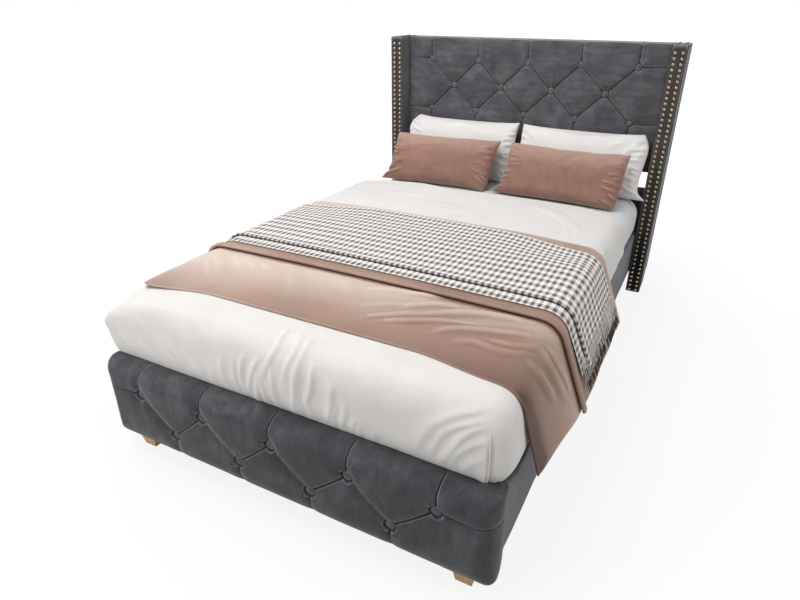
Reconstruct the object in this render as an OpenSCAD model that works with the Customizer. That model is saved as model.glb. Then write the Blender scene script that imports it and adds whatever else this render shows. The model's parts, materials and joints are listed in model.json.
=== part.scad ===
// Upholstered bed with a winged, buttoned headboard, dressed with its bedding.
// Millimetres. +Z is up, the head is at +Y and the foot at -Y.
// The origin is on the floor, at the middle of the overall length and width.

/* [Mattress] */
// Width of the mattress
mattress_w = 1200; // [900:10:1800]
// Length of the mattress
mattress_l = 2000; // [1800:10:2200]
// Thickness of the mattress
mattress_h = 220; // [180:5:300]
// Free gap all round the mattress in its bay
mattress_gap = 6; // [4:1:15]
// Depth that the mattress sits below the top of the rails
mattress_sink = 41; // [25:1:60]
// How far the swollen mattress side stays inside the outer face of the rails
swell_inset = 5; // [2:1:20]
// Radius of the swollen mattress side, seen from the end
swell_r = 90; // [60:5:110]
// Corner radius of the mattress, seen from above
mattress_corner_r = 70; // [40:5:120]

/* [Bedding] */
// Thickness of the fitted sheet
sheet_t = 1.2; // [0.8:0.1:3]
// Thickness of the duvet on top of the mattress
duvet_t = 54; // [25:1:90]
// Thickness of the duvet where it goes down the sides
duvet_side_t = 10; // [6:1:16]
// Crown of the duvet at its middle
duvet_crown = 5; // [0:1:20]
// Distance from the head end of the mattress to the head edge of the duvet
duvet_head = 513; // [380:5:700]
// Thickness of one layer of the blanket
blanket_t = 5; // [3:1:10]
// Distance of the blanket's foot edge from the foot end of the mattress
blanket_foot = 56; // [20:2:300]
// Length of the lower layer of the folded blanket
blanket_l = 995; // [700:5:1200]
// Length of the upper layer of the folded blanket
blanket_fold_l = 655; // [200:5:650]
// Length of the blanket that hangs free from the shoulder
blanket_drop = 226; // [170:2:260]
// How much shorter the blanket hangs at its foot edge
blanket_rise = 42; // [0:2:60]
// Angle at which the blanket stands out from the vertical
blanket_flare = 21; // [8:1:24]
// How much steeper it hangs at its foot edge, in degrees
blanket_close = 5; // [0:1:7]
// Depth of the hanging folds at the hem
fold_depth = 9; // [0:1:14]
// Distance between hanging folds
fold_pitch = 310; // [240:10:500]
// Thickness of one layer of the throw
throw_t = 3; // [2:0.5:6]
// Distance of the throw's foot edge from the foot end of the mattress
throw_foot = 458; // [300:2:700]
// Width of the folded throw along the bed
throw_l = 585; // [300:5:600]
// Width of the throw's upper layer
throw_fold_l = 535; // [200:5:540]
// Length of the throw that hangs free from the shoulder, with its fringe
throw_drop = 198; // [120:2:230]

/* [Pillows and cushions] */
// Width of a pillow between its corners
pillow_w = 606; // [450:5:620]
// Height of a pillow between its corners
pillow_h = 316; // [250:2:500]
// Thickness of a pillow at its belly
pillow_t = 150; // [80:5:200]
// Lean of a pillow from the vertical
pillow_lean = 17; // [8:1:30]
// Distance between the middles of the two pillows
pillow_apart = 626; // [620:2:660]
// Width of a cushion between its corners
cushion_w = 555; // [350:5:580]
// Height of a cushion between its corners
cushion_h = 272; // [200:2:380]
// Thickness of a cushion at its belly
cushion_t = 130; // [70:5:160]
// Lean of a cushion from the vertical
cushion_lean = 33; // [25:1:45]
// Distance between the middles of the two cushions
cushion_apart = 614; // [590:2:680]

/* [Side rails] */
// Height of a padded rail
rail_h = 229; // [200:1:320]
// Underside of a rail above the floor
rail_z = 84; // [70:1:200]
// Thickness of a rail's board
rail_board_t = 30; // [25:1:45]
// Padding on a rail's outer face
rail_pad_t = 11; // [6:1:25]
// Padding over a rail's top and bottom edges
rail_edge_t = 6; // [3:1:12]

/* [Footboard] */
// Depth of the footboard from its crown to its back
foot_depth = 105; // [98:1:180]
// Height of the padded footboard
foot_h = 299; // [250:1:420]
// How far the footboard stands out past each rail
foot_overhang = 10; // [3:1:60]
// Padding on the ends, top and underside of the footboard
foot_edge_t = 12; // [10:1:30]
// Padding in front of the footboard, at its crown
foot_pad_t = 47; // [40:1:60]
// Rounding of the padded footboard's edges
foot_round = 35; // [15:1:40]
// Thickness of the footboard's plywood
foot_ply_t = 9; // [6:1:15]
// Distance between the footboard's buttons along a row
foot_button_pitch = 251; // [200:1:260]
// Distance between the footboard's rows of buttons
foot_row_pitch = 110; // [90:1:130]
// Distance from the top of the footboard to its top row of buttons
foot_row_top = 88; // [60:1:95]
// Depth of the footboard's buttons below its crown
foot_sink = 21; // [12:1:28]

/* [Legs] */
// Height of the oak legs
leg_h = 44; // [30:1:120]
// Width of a leg at its top
leg_top_w = 62; // [50:1:75]
// Width of a leg at its bottom
leg_bottom_w = 46; // [36:1:50]
// Distance from the end of the footboard to the middle of a leg
leg_inset = 87; // [60:1:200]

/* [Headboard] */
// Height of the wings and headboard above the floor
wing_h = 1174; // [1050:2:1400]
// Thickness of a wing
wing_t = 65; // [50:1:90]
// How far the wings stand out in front of the lower board
wing_out = 80; // [40:1:120]
// Depth from the front of the lower board to the backs of the wings
head_depth = 117; // [117:1:180]
// Running gap between a rail and the wing beside it
wing_gap = 6; // [5:1:15]
// Padding on the faces of a wing
wing_pad_t = 10; // [5:1:14]
// Height of the chamfer at the back of a wing's foot
wing_chamfer = 70; // [10:5:120]
// Open gap between the tufted panel and the lower board
panel_gap = 78; // [50:2:110]
// Padding in front of the panel's board, at its crest
panel_pad_t = 40; // [30:1:50]
// Rounding of the panel's padded edges
panel_round = 16; // [8:1:20]
// Distance between the headboard's buttons along a row
head_button_pitch = 260; // [200:1:265]
// Distance between the headboard's rows of buttons
head_row_pitch = 126; // [100:1:150]
// Distance from the top of the headboard to its top row of buttons
head_row_top = 103; // [80:1:140]
// Depth of the headboard's buttons below the crest
head_sink = 21; // [10:1:26]
// Top of the lower board above the floor
lower_board_top = 521; // [460:1:550]
// Thickness of the lower board
lower_board_t = 24; // [21:1:40]

/* [Buttons and nails] */
// Radius of a covered button
button_r = 15; // [10:0.5:20]
// Thickness of a covered button
button_t = 7; // [4:0.5:10]
// Radius of a nail head
nail_r = 6; // [4:0.5:7]
// Height of a nail head
nail_h = 3; // [1.5:0.5:4]
// Distance between nails in a column
nail_pitch = 23.4; // [18:0.2:40]

/* [Slats and centre beam] */
// Number of slats
slat_n = 14; // [9:1:18]
// Width of a slat
slat_w = 70; // [50:1:90]
// Thickness of a slat
slat_t = 16; // [12:1:25]
// Width and height of the timber cleats under the slats' ends
cleat_w = 30; // [25:1:40]
// Width of the centre beam
beam_w = 40; // [30:1:60]
// Height of the centre beam
beam_h = 30; // [25:1:50]
// Wall of the centre beam
beam_wall = 2; // [1.5:0.5:4]
// Outer radius of a centre leg
post_r = 15; // [12:0.5:18]
// Radius of a levelling foot
foot_pad_r = 20; // [15:1:30]
// How far a levelling foot can be screwed up
foot_travel = 15; // [5:1:15]

/* [Hardware] */
// Thickness of the steel brackets
bracket_t = 3; // [2:0.5:5]
// Width of each leg of a corner bracket
bracket_leg = 50; // [45:1:54]
// Height of a corner bracket
bracket_h = 110; // [80:5:120]
// Radius of the bolts
bolt_r = 4; // [3:0.5:5]
// Radius of the wood screws
screw_r = 2; // [1.5:0.25:2.5]

/* [Hidden] */
$fn = 48;

// Clearances
soft_gap = 0.3;
seat_gap = 0.5;
bolt_hole_gap = 0.5;
thread_gap = 0.05;
crest_gap = 1;

// Bay that holds the mattress, and the overall length that follows from it
bay_w = mattress_w + 2 * mattress_gap;
bay_l = mattress_l + 2 * mattress_gap;
bay_x = bay_w / 2;
overall_l = foot_depth + bay_l + head_depth;
front_y = -overall_l / 2;
back_y = overall_l / 2;
bay_foot = front_y + foot_depth;
bay_head = back_y - head_depth;
bay_mid = (bay_foot + bay_head) / 2;

// Side rails
rail_t = rail_board_t + rail_pad_t;
rail_top = rail_z + rail_h;
rail_x = bay_x + rail_t;

// Headboard and wings
wing_in = rail_x + wing_gap;
wing_x = wing_in + wing_t;
wing_front = bay_head - wing_out;
glide_h = 5;
glide_r = 14;
glide_inset = 45;
core_in = wing_in + wing_pad_t;
core_t = wing_t - 2 * wing_pad_t;
chamfer_y = wing_chamfer * 0.8;
panel_x = wing_in - seat_gap;
panel_z = lower_board_top + panel_gap;
crest_y = bay_head - mattress_gap + sheet_t + soft_gap + crest_gap;
panel_board_y = crest_y + panel_pad_t;
panel_board_t = 12;
panel_frame_y = panel_board_y + panel_board_t;
panel_frame_d = 66;
panel_frame_w = 45;
panel_edge_t = 12;
panel_under_t = 6;
cloth_t = 1;
panel_back = panel_frame_y + panel_frame_d;
frame_z = panel_z + panel_under_t;
frame_top = wing_h - panel_edge_t;
stile_h = frame_top - frame_z;
lower_cover_t = 3;
lower_board_z = 80;

// Footboard
foot_z = leg_h;
foot_top = foot_z + foot_h;
foot_x = rail_x + foot_overhang;
foot_frame_x = foot_x - foot_edge_t;
leg_x = foot_x - leg_inset;
foot_frame_z = foot_z + foot_edge_t / 2;
foot_frame_top = foot_top - foot_edge_t;
foot_board_y = front_y + foot_pad_t;
rib_y = foot_board_y + foot_ply_t;
rib_d = foot_depth - foot_pad_t - 2 * foot_ply_t;
rib_w = 60;
rib_x = [-leg_x, -leg_x / 3, leg_x / 3, leg_x];
leg_y = bay_foot - leg_top_w / 2;
leg_bolt_up = 50;
leg_bolt_down = 24;

// Heights of the parts that carry the mattress
mattress_z = rail_top - mattress_sink;
mattress_top = mattress_z + mattress_h;
webbing_t = 1.2;
webbing_w = 25;
webbing_x = bay_x * 0.66;
slat_top = mattress_z - soft_gap - webbing_t;
slat_z = slat_top - slat_t;
slat_x = bay_x - 3;
slat_inset = 45;
slat_pitch = (bay_l - 2 * slat_inset) / (slat_n - 1);
cleat_z = slat_z - cleat_w;
beam_z = slat_z - beam_h;
hanger_t = 3;
hanger_d = 35;
hanger_flange = 20;
post_wall = 2;
post_z = 25;
post_plug_h = 20;
post_plate_t = 3;
post_plate_l = 70;
foot_disc_h = post_z - foot_travel - 2;
stem_h = 45;
post_y = [for (k = [-1, 0, 1]) bay_mid + k * bay_l * 0.28];

// Brackets, bolts and screws
bracket_z = cleat_z - 6 - bracket_h;
bolt_end = 25;
bolt_in = 22;
bolt_off = bracket_leg * 0.64;
bracket_bolt_z = [bracket_z + bolt_end, bracket_z + bracket_h - bolt_end];
head_r = bolt_r * 1.85;
head_h = bolt_r * 1.3;
wing_bracket_z = rail_z + 60;
wing_bracket_h = (lower_board_top - wing_bracket_z) * 0.8;
wing_bolt_end = 25;
panel_bolt_end = 100;
panel_bolt_z = [frame_z + panel_bolt_end, frame_top - panel_bolt_end];
panel_bolt_y = panel_frame_y + panel_frame_d / 2;
screw_head_r = screw_r * 1.9;
screw_head_h = 2.4;
screw_l = 24;

// Swollen side of the mattress: an upright ellipse, seen from the end
swell_x = rail_x - swell_inset;
swell_cx = swell_x - swell_r;
swell_over = mattress_top - rail_top;
swell_cz = rail_top + swell_over * 0.52;
swell_up = mattress_top - swell_cz;
swell_down = swell_cz - rail_top - 2;
tuck_x = mattress_w / 2 + 12;
side_angles = [-25, -8, 8, 24, 40, 56, 73, 90];
shell_angles = [-50, -32, -12, 10, 30, 48, 64, 78, 90];
ring_corner_steps = 5;

// Duvet, blanket and throw, each clear of the layer below
sheet_out = sheet_t + soft_gap;
duvet_rx = swell_r + sheet_out + duvet_side_t;
duvet_up = swell_up + sheet_out + duvet_t;
duvet_down = swell_down;
duvet_head_y = bay_head - mattress_gap - duvet_head;
blanket_y = bay_foot + mattress_gap + blanket_foot;
blanket_end = blanket_y + blanket_l;
blanket_fold_y = blanket_end - blanket_fold_l;
throw_y = bay_foot + mattress_gap + throw_foot;
throw_end = throw_y + throw_l;
throw_fold_y = throw_end - throw_fold_l;
blanket_off = soft_gap;
blanket_all = 2 * blanket_t;
throw_off = blanket_off + blanket_all + 2 * soft_gap;
throw_all = 2 * throw_t;
throw_flare = blanket_flare + 2;
shoulder_power = 0.66;

// Points and faces of closed forms

// Distance in the plane from point p to the line between a and b
function seg_dist(p, a, b) =
    let (d = b - a, t = max(0, min(1, ((p - a) * d) / (d * d)))) norm(p - a - t * d);

// Evenly spaced values from a to b in n steps, without the last
function steps(a, b, n) = [for (k = [0 : n - 1]) a + (b - a) * k / n];

// Smooth step from 0 to 1 as t goes from 0 to 1
function ease(t) = let (c = max(0, min(1, t))) c * c * (3 - 2 * c);

// Two triangles on four corners that run clockwise seen from outside
function quad(a, b, c, d) = [[a, b, c], [a, c, d]];

// Two triangles split along the diagonal a-c or b-d
function quad_split(a, b, c, d, on_ac) = on_ac ? [[a, b, c], [a, c, d]] : [[a, b, d], [b, c, d]];

function flat(lists) = [for (l = lists) each l];

// Closed sheet between an outer and an inner grid of points, rows along Y and columns from left to right
module sheet_solid(outer, inner) {
    rows = len(outer);
    cols = len(outer[0]);
    n = rows * cols;
    top = [for (j = [0 : rows - 2], i = [0 : cols - 2])
        each quad(j * cols + i, (j + 1) * cols + i, (j + 1) * cols + i + 1, j * cols + i + 1)];
    under = [for (f = top) [f[2] + n, f[1] + n, f[0] + n]];
    foot_rim = [for (i = [0 : cols - 2]) each quad(i, i + 1, n + i + 1, n + i)];
    last = (rows - 1) * cols;
    head_rim = [for (i = [0 : cols - 2]) each quad(last + i + 1, last + i, n + last + i, n + last + i + 1)];
    left_rim = [for (j = [0 : rows - 2])
        each quad((j + 1) * cols, j * cols, n + j * cols, n + (j + 1) * cols)];
    right = cols - 1;
    right_rim = [for (j = [0 : rows - 2])
        each quad(j * cols + right, (j + 1) * cols + right, n + (j + 1) * cols + right, n + j * cols + right)];
    polyhedron(concat(flat(outer), flat(inner)), concat(top, under, foot_rim, head_rim, left_rim, right_rim));
}

// Faces of the walls between rings that run anticlockwise seen from above
function ring_walls(rings, n, start) =
    [for (k = [0 : rings - 2], m = [0 : n - 1])
        let (a = start + k * n, b = (m + 1) % n) each quad(a + m, a + n + m, a + n + b, a + b)];

// Closed form through rings of points, with a middle point at its top and bottom
module ring_solid(rings, bottom, top) {
    n = len(rings[0]);
    all = len(rings) * n;
    floor_fan = [for (m = [0 : n - 1]) [all, m, (m + 1) % n]];
    roof_fan = [for (m = [0 : n - 1]) [all + 1, all - n + (m + 1) % n, all - n + m]];
    polyhedron(concat(flat(rings), [bottom, top]), concat(ring_walls(len(rings), n, 0), floor_fan, roof_fan));
}

// Closed cap between outer and inner rings, open below
module cap_solid(outer, outer_top, inner, inner_top) {
    n = len(outer[0]);
    count = len(outer) * n;
    walls = ring_walls(len(outer), n, 0);
    inner_walls = [for (f = walls) [f[2] + count, f[1] + count, f[0] + count]];
    rim = [for (m = [0 : n - 1]) let (b = (m + 1) % n) each quad(m, b, count + b, count + m)];
    roof = [for (m = [0 : n - 1]) [2 * count, count - n + (m + 1) % n, count - n + m]];
    inner_roof = [for (m = [0 : n - 1]) [2 * count + 1, 2 * count - n + m, 2 * count - n + (m + 1) % n]];
    polyhedron(
        concat(flat(outer), flat(inner), [outer_top, inner_top]),
        concat(walls, inner_walls, rim, roof, inner_roof)
    );
}

// One level ring of a rounded rectangle, anticlockwise seen from above
function level_ring(hx, y0, y1, r, z) =
    [for (c = [[1, -1, -90], [1, 1, 0], [-1, 1, 90], [-1, -1, 180]], k = [0 : ring_corner_steps])
        let (
            a = c[2] + 90 * k / ring_corner_steps,
            cy = c[1] > 0 ? y1 - r : y0 + r
        ) [c[0] * (hx - r) + r * cos(a), cy + r * sin(a), z]];

// Ring of the bedding at angle a of its swollen side, for an ellipse of the given half axes
function swell_ring(a, rx, up, down, power, head) =
    let (
        c = pow(cos(a), power),
        s = a < 0 ? -pow(-sin(a), power) : pow(sin(a), power),
        grow = swell_cx + rx * c - bay_x + mattress_gap,
        x = swell_cx + rx * c,
        z = swell_cz + (a < 0 ? down : up) * s
    ) level_ring(x, bay_foot + mattress_gap - grow, head + min(0, grow), mattress_corner_r + grow * 0.6, z);

// Rings of the mattress side from its tuck above the rails to its top, set out by an offset.
// The foot end stays in the bay until the side has passed the top of the footboard.
function side_rings(off) =
    let (
        foot = bay_foot + mattress_gap,
        head = bay_head - mattress_gap + off,
        low = mattress_w / 2,
        r = mattress_corner_r
    ) concat(
        [
            level_ring(low + off, foot - off, head, r, mattress_z + 14),
            level_ring(low + 3 + off, foot - 2 - off, head, r, rail_top + 0.6),
            level_ring(tuck_x + off, foot - 3 - off, head, r + 6, rail_top + 4),
            level_ring(tuck_x + 6 + off, foot - 4 - off, head, r + 10, foot_top + 3)
        ],
        [for (a = side_angles) swell_ring(a, swell_r + off, swell_up + off, swell_down, 1, head)]
    );

// Tufting

// Crown of padding at distance d from the nearest seam, 0 on the seam and 1 past the reach
function puff(d, reach) = sqrt(max(0, 1 - pow(1 - min(1, d / reach), 2)));

// Seams that join buttons of neighbouring rows
function diagonal_seams(rows, pitch, row_pitch) =
    [for (a = rows, b = rows)
        if (abs(a[1] - b[1] - row_pitch) < 1 && abs(abs(a[0] - b[0]) - pitch / 2) < 1) [a, b]];

// How far the cover lies behind the crown at point p
function tuft_depth(p, seams, buttons, seam_d, sink, reach) =
    let (
        d = min([for (s = seams) seg_dist(p, s[0], s[1])]),
        b = min([for (s = buttons) norm(p - s)])
    ) seam_d * (1 - puff(d, reach)) + (sink - seam_d) * exp(-pow(b / (button_r * 1.7), 2));

// Padded slab with a tufted front, closed at the back, whose edges are rounded by r
module tufted_slab(xs, zs, y_crest, y_back, r, seams, buttons, seam_d, sink, reach) {
    nx = len(xs) - 1;
    nz = len(zs) - 1;
    depth = [for (z = zs) [for (x = xs) tuft_depth([x, z], seams, buttons, seam_d, sink, reach)]];
    front = [for (j = [0 : nz], i = [0 : nx]) [xs[i], y_crest + depth[j][i], zs[j]]];
    front_faces = [for (j = [0 : nz - 1], i = [0 : nx - 1])
        let (a = j * (nx + 1) + i, sunk = depth[j][i] + depth[j + 1][i + 1] > depth[j + 1][i] + depth[j][i + 1])
            each quad_split(a, a + nx + 1, a + nx + 2, a + 1, sunk)];
    border = concat(
        [for (i = [0 : nx - 1]) [i, 0]],
        [for (j = [0 : nz - 1]) [nx, j]],
        [for (i = [nx : -1 : 1]) [i, nz]],
        [for (j = [nz : -1 : 1]) [0, j]]
    );
    n = len(border);
    out = [for (b = border) [b[0] == nx ? 1 : b[0] == 0 ? -1 : 0, b[1] == nz ? 1 : b[1] == 0 ? -1 : 0]];
    rounds = [30, 60, 90];
    edge = [for (a = rounds) [for (m = [0 : n - 1])
        let (b = border[m], y = y_crest + depth[b[1]][b[0]] * cos(a / 2) + r * (1 - cos(a)))
            [xs[b[0]] + out[m][0] * r * sin(a), y, zs[b[1]] + out[m][1] * r * sin(a)]]];
    back = [for (p = edge[2]) [p[0], y_back, p[2]]];
    start = [for (b = border) b[1] * (nx + 1) + b[0]];
    base = len(front);
    first = [for (m = [0 : n - 1])
        let (k = (m + 1) % n) each quad(start[m], start[k], base + k, base + m)];
    more = [for (k = [0 : 2], m = [0 : n - 1])
        let (a = base + k * n, b = (m + 1) % n) each quad(a + m, a + b, a + n + b, a + n + m)];
    middle = base + 4 * n;
    fan = [for (m = [0 : n - 1]) [middle, base + 3 * n + m, base + 3 * n + (m + 1) % n]];
    polyhedron(
        concat(front, flat(edge), back, [[0, y_back, (zs[0] + zs[nz]) / 2]]),
        concat(front_faces, first, more, fan)
    );
}

// Lines of a tufted slab's grid: buttons fall on the lines, and the margins past them are filled evenly
function tuft_lines(low, high, first, last, cells, margin) =
    concat(steps(low, first, margin), steps(first, last, cells), steps(last, high, margin), [high]);

// A stuffed form in its own frame: width along X, height along Z, thickness along Y
function stuffed_point(u, v, side, w, h, t) =
    let (draw = 0.07)
        [w / 2 * u * (1 - draw * (1 - v * v)), side * t / 2 * pow((1 - u * u) * (1 - v * v), 0.42),
            h / 2 * v * (1 - draw * 1.4 * (1 - u * u))];

// Points of a stuffed form, leaned back and turned, front grid first and then the inner points of the back
function stuffed_points(w, h, t, lean, turn, nu, nv) =
    let (
        us = [for (i = [0 : nu]) -cos(180 * i / nu)],
        vs = [for (j = [0 : nv]) -cos(180 * j / nv)],
        raw = concat(
            [for (v = vs, u = us) stuffed_point(u, v, -1, w, h, t)],
            [for (j = [1 : nv - 1], i = [1 : nu - 1]) stuffed_point(us[i], vs[j], 1, w, h, t)]
        ),
        leaned = [for (p = raw)
            [p[0], p[1] * cos(lean) + p[2] * sin(lean), -p[1] * sin(lean) + p[2] * cos(lean)]]
    ) [for (p = leaned) [p[0] * cos(turn) - p[1] * sin(turn), p[0] * sin(turn) + p[1] * cos(turn), p[2]]];

module stuffed_solid(points, nu, nv) {
    cols = nu + 1;
    function front(i, j) = j * cols + i;
    function back(i, j) = (i == 0 || j == 0 || i == nu || j == nv)
        ? front(i, j)
        : cols * (nv + 1) + (j - 1) * (nu - 1) + i - 1;
    front_faces = [for (j = [0 : nv - 1], i = [0 : nu - 1])
        each quad_split(front(i, j), front(i, j + 1), front(i + 1, j + 1), front(i + 1, j),
            (i < nu / 2) == (j < nv / 2))];
    back_faces = [for (j = [0 : nv - 1], i = [0 : nu - 1])
        each quad_split(back(i, j), back(i + 1, j), back(i + 1, j + 1), back(i, j + 1),
            (i < nu / 2) == (j < nv / 2))];
    polyhedron(points, concat(front_faces, back_faces));
}

// Largest and least reach of points along a direction
function reach_most(points, d) = max([for (p = points) p * d]);
function reach_least(points, d) = min([for (p = points) p * d]);

// Bolts and screws

// Hexagon bolt along +X from the face that its head bears on
module bolt(length) {
    rotate([0, 90, 0]) {
        cylinder(h = length, r = bolt_r);
        translate([0, 0, -head_h]) cylinder(h = head_h, r = head_r, $fn = 6);
    }
}

// Bore for a bolt along +X
module bolt_bore(length, gap) {
    translate([-1, 0, 0]) rotate([0, 90, 0]) cylinder(h = length + 1, r = bolt_r + gap);
}

// Round-headed screw along +X from the face that its head bears on
module screw(length) {
    rotate([0, 90, 0]) {
        cylinder(h = length, r = screw_r);
        translate([0, 0, -screw_head_h]) cylinder(h = screw_head_h, r1 = screw_head_r * 0.6, r2 = screw_head_r);
    }
}

module screw_bore(length, gap) {
    translate([-1, 0, 0]) rotate([0, 90, 0]) cylinder(h = length + 1, r = screw_r + gap);
}

// Box between two corners
module block(low, high) {
    translate(low) cube(high - low);
}

// Places of the bolts in the corner brackets, into the rail: [side, y, z]
function rail_bolt_places(side) =
    [for (y = [bay_foot + bolt_off, bay_head - bolt_off], z = bracket_bolt_z) [side, y, z]];

// Places of the bolts in the corner brackets, into the footboard and the lower board: [side, z]
end_bolt_places = [for (side = [-1, 1], z = bracket_bolt_z) [side, z]];

wing_bolt_z = [for (k = [0, 0.5, 1]) wing_bracket_z + wing_bolt_end + k * (wing_bracket_h - 2 * wing_bolt_end)];
cleat_screw_end = 120;
cleat_screw_y = [for (k = [0 : 5]) bay_foot + cleat_screw_end + k * (bay_l - 2 * cleat_screw_end) / 5];
cleat_l = bay_l - 2 * seat_gap;

// Headboard

head_rows = [for (k = [0 : 2]) wing_h - head_row_top - k * head_row_pitch];
head_buttons = concat(
    [for (k = [-2 : 2]) [k * head_button_pitch, head_rows[0]]],
    [for (k = [-1.5 : 1 : 1.5]) [k * head_button_pitch, head_rows[1]]],
    [for (k = [-2 : 2]) [k * head_button_pitch, head_rows[2]]]
);
head_outer_x = 2 * head_button_pitch;
head_seams = concat(
    diagonal_seams(head_buttons, head_button_pitch, head_row_pitch),
    [for (k = [-2 : 2]) [[k * head_button_pitch, head_rows[0]], [k * head_button_pitch, wing_h]]],
    [for (k = [-2 : 2]) [[k * head_button_pitch, head_rows[2]], [k * head_button_pitch, panel_z]]],
    [for (s = [-1, 1], z = [head_rows[0], head_rows[2]]) [[s * head_outer_x, z], [s * panel_x, z]]]
);
head_xs = tuft_lines(-panel_x + panel_round, panel_x - panel_round, -head_outer_x, head_outer_x, 24, 3);
head_zs = tuft_lines(panel_z + panel_round, wing_h - panel_round, head_rows[2], head_rows[0], 6, 3);

module headboard_pad() {
    color("dimgray") {
        difference() {
            tufted_slab(head_xs, head_zs, crest_y, panel_board_y, panel_round, head_seams, head_buttons,
                head_sink * 0.55, head_sink, 70);
            for (b = head_buttons) translate([b[0], crest_y + head_sink, b[1]]) button_pocket(head_sink);
        }
        block([-panel_x, panel_board_y, frame_top], [panel_x, panel_back + cloth_t, wing_h]);
        block([-panel_x, panel_board_y, panel_z], [panel_x, panel_back + cloth_t, frame_z]);
    }
}

// Pocket that a button sits in, flat at its bottom and open towards -Y
module button_pocket(depth) {
    rotate([90, 0, 0]) cylinder(h = depth + 1, r = (button_r + soft_gap) / cos(180 / 16), $fn = 16);
}

// Domed button with its face towards -Y, on a flat back
module button() {
    rotate([90, 0, 0]) rotate_extrude() intersection() {
        translate([0, -button_r * 1.5 + button_t]) circle(r = button_r * 1.5);
        square([button_r, button_t]);
    }
}

module headboard_buttons() {
    color("dimgray") for (b = head_buttons) translate([b[0], crest_y + head_sink, b[1]]) button();
}

module headboard_board() {
    color("burlywood") block([-panel_x, panel_board_y, frame_z], [panel_x, panel_frame_y, frame_top]);
}

// Upright of the headboard's frame, bored for the bolts that hold the wing
module headboard_stile(side) {
    color("burlywood") scale_x(side) difference() {
        block([panel_x - panel_frame_w, panel_frame_y, frame_z], [panel_x, panel_back, frame_top]);
        for (z = panel_bolt_z)
            translate([panel_x - panel_frame_w, panel_bolt_y, z]) bolt_bore(panel_frame_w + 1, bolt_hole_gap);
    }
}

module headboard_rail(z) {
    x = panel_x - panel_frame_w;
    color("burlywood") block([-x, panel_frame_y, z], [x, panel_back, z + panel_frame_w]);
}

module headboard_back_cloth() {
    color("black") block([-panel_x, panel_back, frame_z], [panel_x, panel_back + cloth_t, frame_top]);
}

module lower_board() {
    y = bay_head + lower_cover_t;
    color("burlywood") difference() {
        block([-panel_x, y, lower_board_z + lower_cover_t],
            [panel_x, y + lower_board_t, lower_board_top - lower_cover_t]);
        for (p = end_bolt_places)
            translate([p[0] * (bay_x - bolt_off), y, p[1]])
                rotate([0, 0, 90]) bolt_bore(bolt_in - 4, thread_gap);
        for (side = [-1, 1], z = wing_bolt_z)
            translate([side * (panel_x - bolt_off), y + lower_board_t, z])
                rotate([0, 0, -90]) bolt_bore(bolt_in - 4, thread_gap);
        for (side = [-1, 1])
            translate([side * hanger_screw_x, y, beam_z + beam_h / 2])
                rotate([0, 0, 90]) screw_bore(screw_l, thread_gap);
    }
}

module lower_board_cover() {
    y = bay_head + lower_cover_t;
    color("dimgray") difference() {
        block([-panel_x, bay_head, lower_board_z], [panel_x, y + lower_board_t, lower_board_top]);
        block([-panel_x - 1, y, lower_board_z + lower_cover_t],
            [panel_x + 1, y + lower_board_t + 1, lower_board_top - lower_cover_t]);
        for (p = end_bolt_places)
            translate([p[0] * (bay_x - bolt_off), bay_head, p[1]])
                rotate([0, 0, 90]) bolt_bore(lower_cover_t + 1, bolt_hole_gap);
        for (side = [-1, 1])
            translate([side * hanger_screw_x, bay_head, beam_z + beam_h / 2])
                rotate([0, 0, 90]) screw_bore(lower_cover_t + 1, bolt_hole_gap);
    }
}

// Wings

// Right-hand pieces are made first and mirrored for the left
module scale_x(side) {
    if (side > 0) children();
    else mirror([1, 0, 0]) children();
}

// Outline of a wing seen from the side, drawn in by an inset
module wing_outline(inset) {
    polygon([
        [wing_front + inset, glide_h], [back_y - chamfer_y - inset, glide_h], [back_y - inset, wing_chamfer],
        [back_y - inset, wing_h - inset], [wing_front + inset, wing_h - inset]
    ]);
}

// Slab of a wing's outline from x0, t thick
module wing_slab(x0, t, inset) {
    translate([x0, 0, 0]) rotate([90, 0, 90]) linear_extrude(t) wing_outline(inset);
}

// Bores for the bolts from the panel's frame and from the bracket behind the lower board
module wing_bores(x0, length, gap) {
    for (z = panel_bolt_z) translate([x0, panel_bolt_y, z]) bolt_bore(length, gap);
    for (z = wing_bolt_z) translate([x0, wing_bracket_y, z]) bolt_bore(length, gap);
}

wing_bracket_y = bay_head + lower_cover_t + lower_board_t + bolt_off;

module wing_core(side) {
    color("burlywood") scale_x(side) difference() {
        wing_slab(core_in, core_t, wing_pad_t);
        wing_bores(core_in, bolt_in + 3, thread_gap);
    }
}

module wing_cover(side) {
    color("dimgray") scale_x(side) difference() {
        wing_slab(wing_in, wing_t, 0);
        wing_slab(core_in, core_t, wing_pad_t);
        block([core_in, wing_front + wing_pad_t, glide_h - 1],
            [core_in + core_t, back_y - chamfer_y - wing_pad_t, glide_h + 1]);
        wing_bores(wing_in, wing_pad_t + 1, bolt_hole_gap);
    }
}

nail_x = [wing_in + wing_t * 0.25, wing_in + wing_t * 0.73];
nail_margin = nail_r * 1.6;
nail_front_z = [for (z = [glide_h + 1.5 * nail_margin : nail_pitch : wing_h - nail_margin]) z];
nail_top_y = [for (y = [wing_front + 1.5 * nail_margin : nail_pitch : back_y - nail_margin]) y];

// Domed nail head along +Z
module nail() {
    cylinder(h = nail_h * 0.45, r = nail_r);
    translate([0, 0, nail_h * 0.45]) cylinder(h = nail_h * 0.55, r1 = nail_r, r2 = nail_r * 0.55);
}

module wing_nails(side) {
    color("goldenrod") scale_x(side) for (x = nail_x) {
        for (z = nail_front_z) translate([x, wing_front, z]) rotate([90, 0, 0]) nail();
        for (y = nail_top_y) translate([x, y, wing_h]) nail();
    }
}

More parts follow.
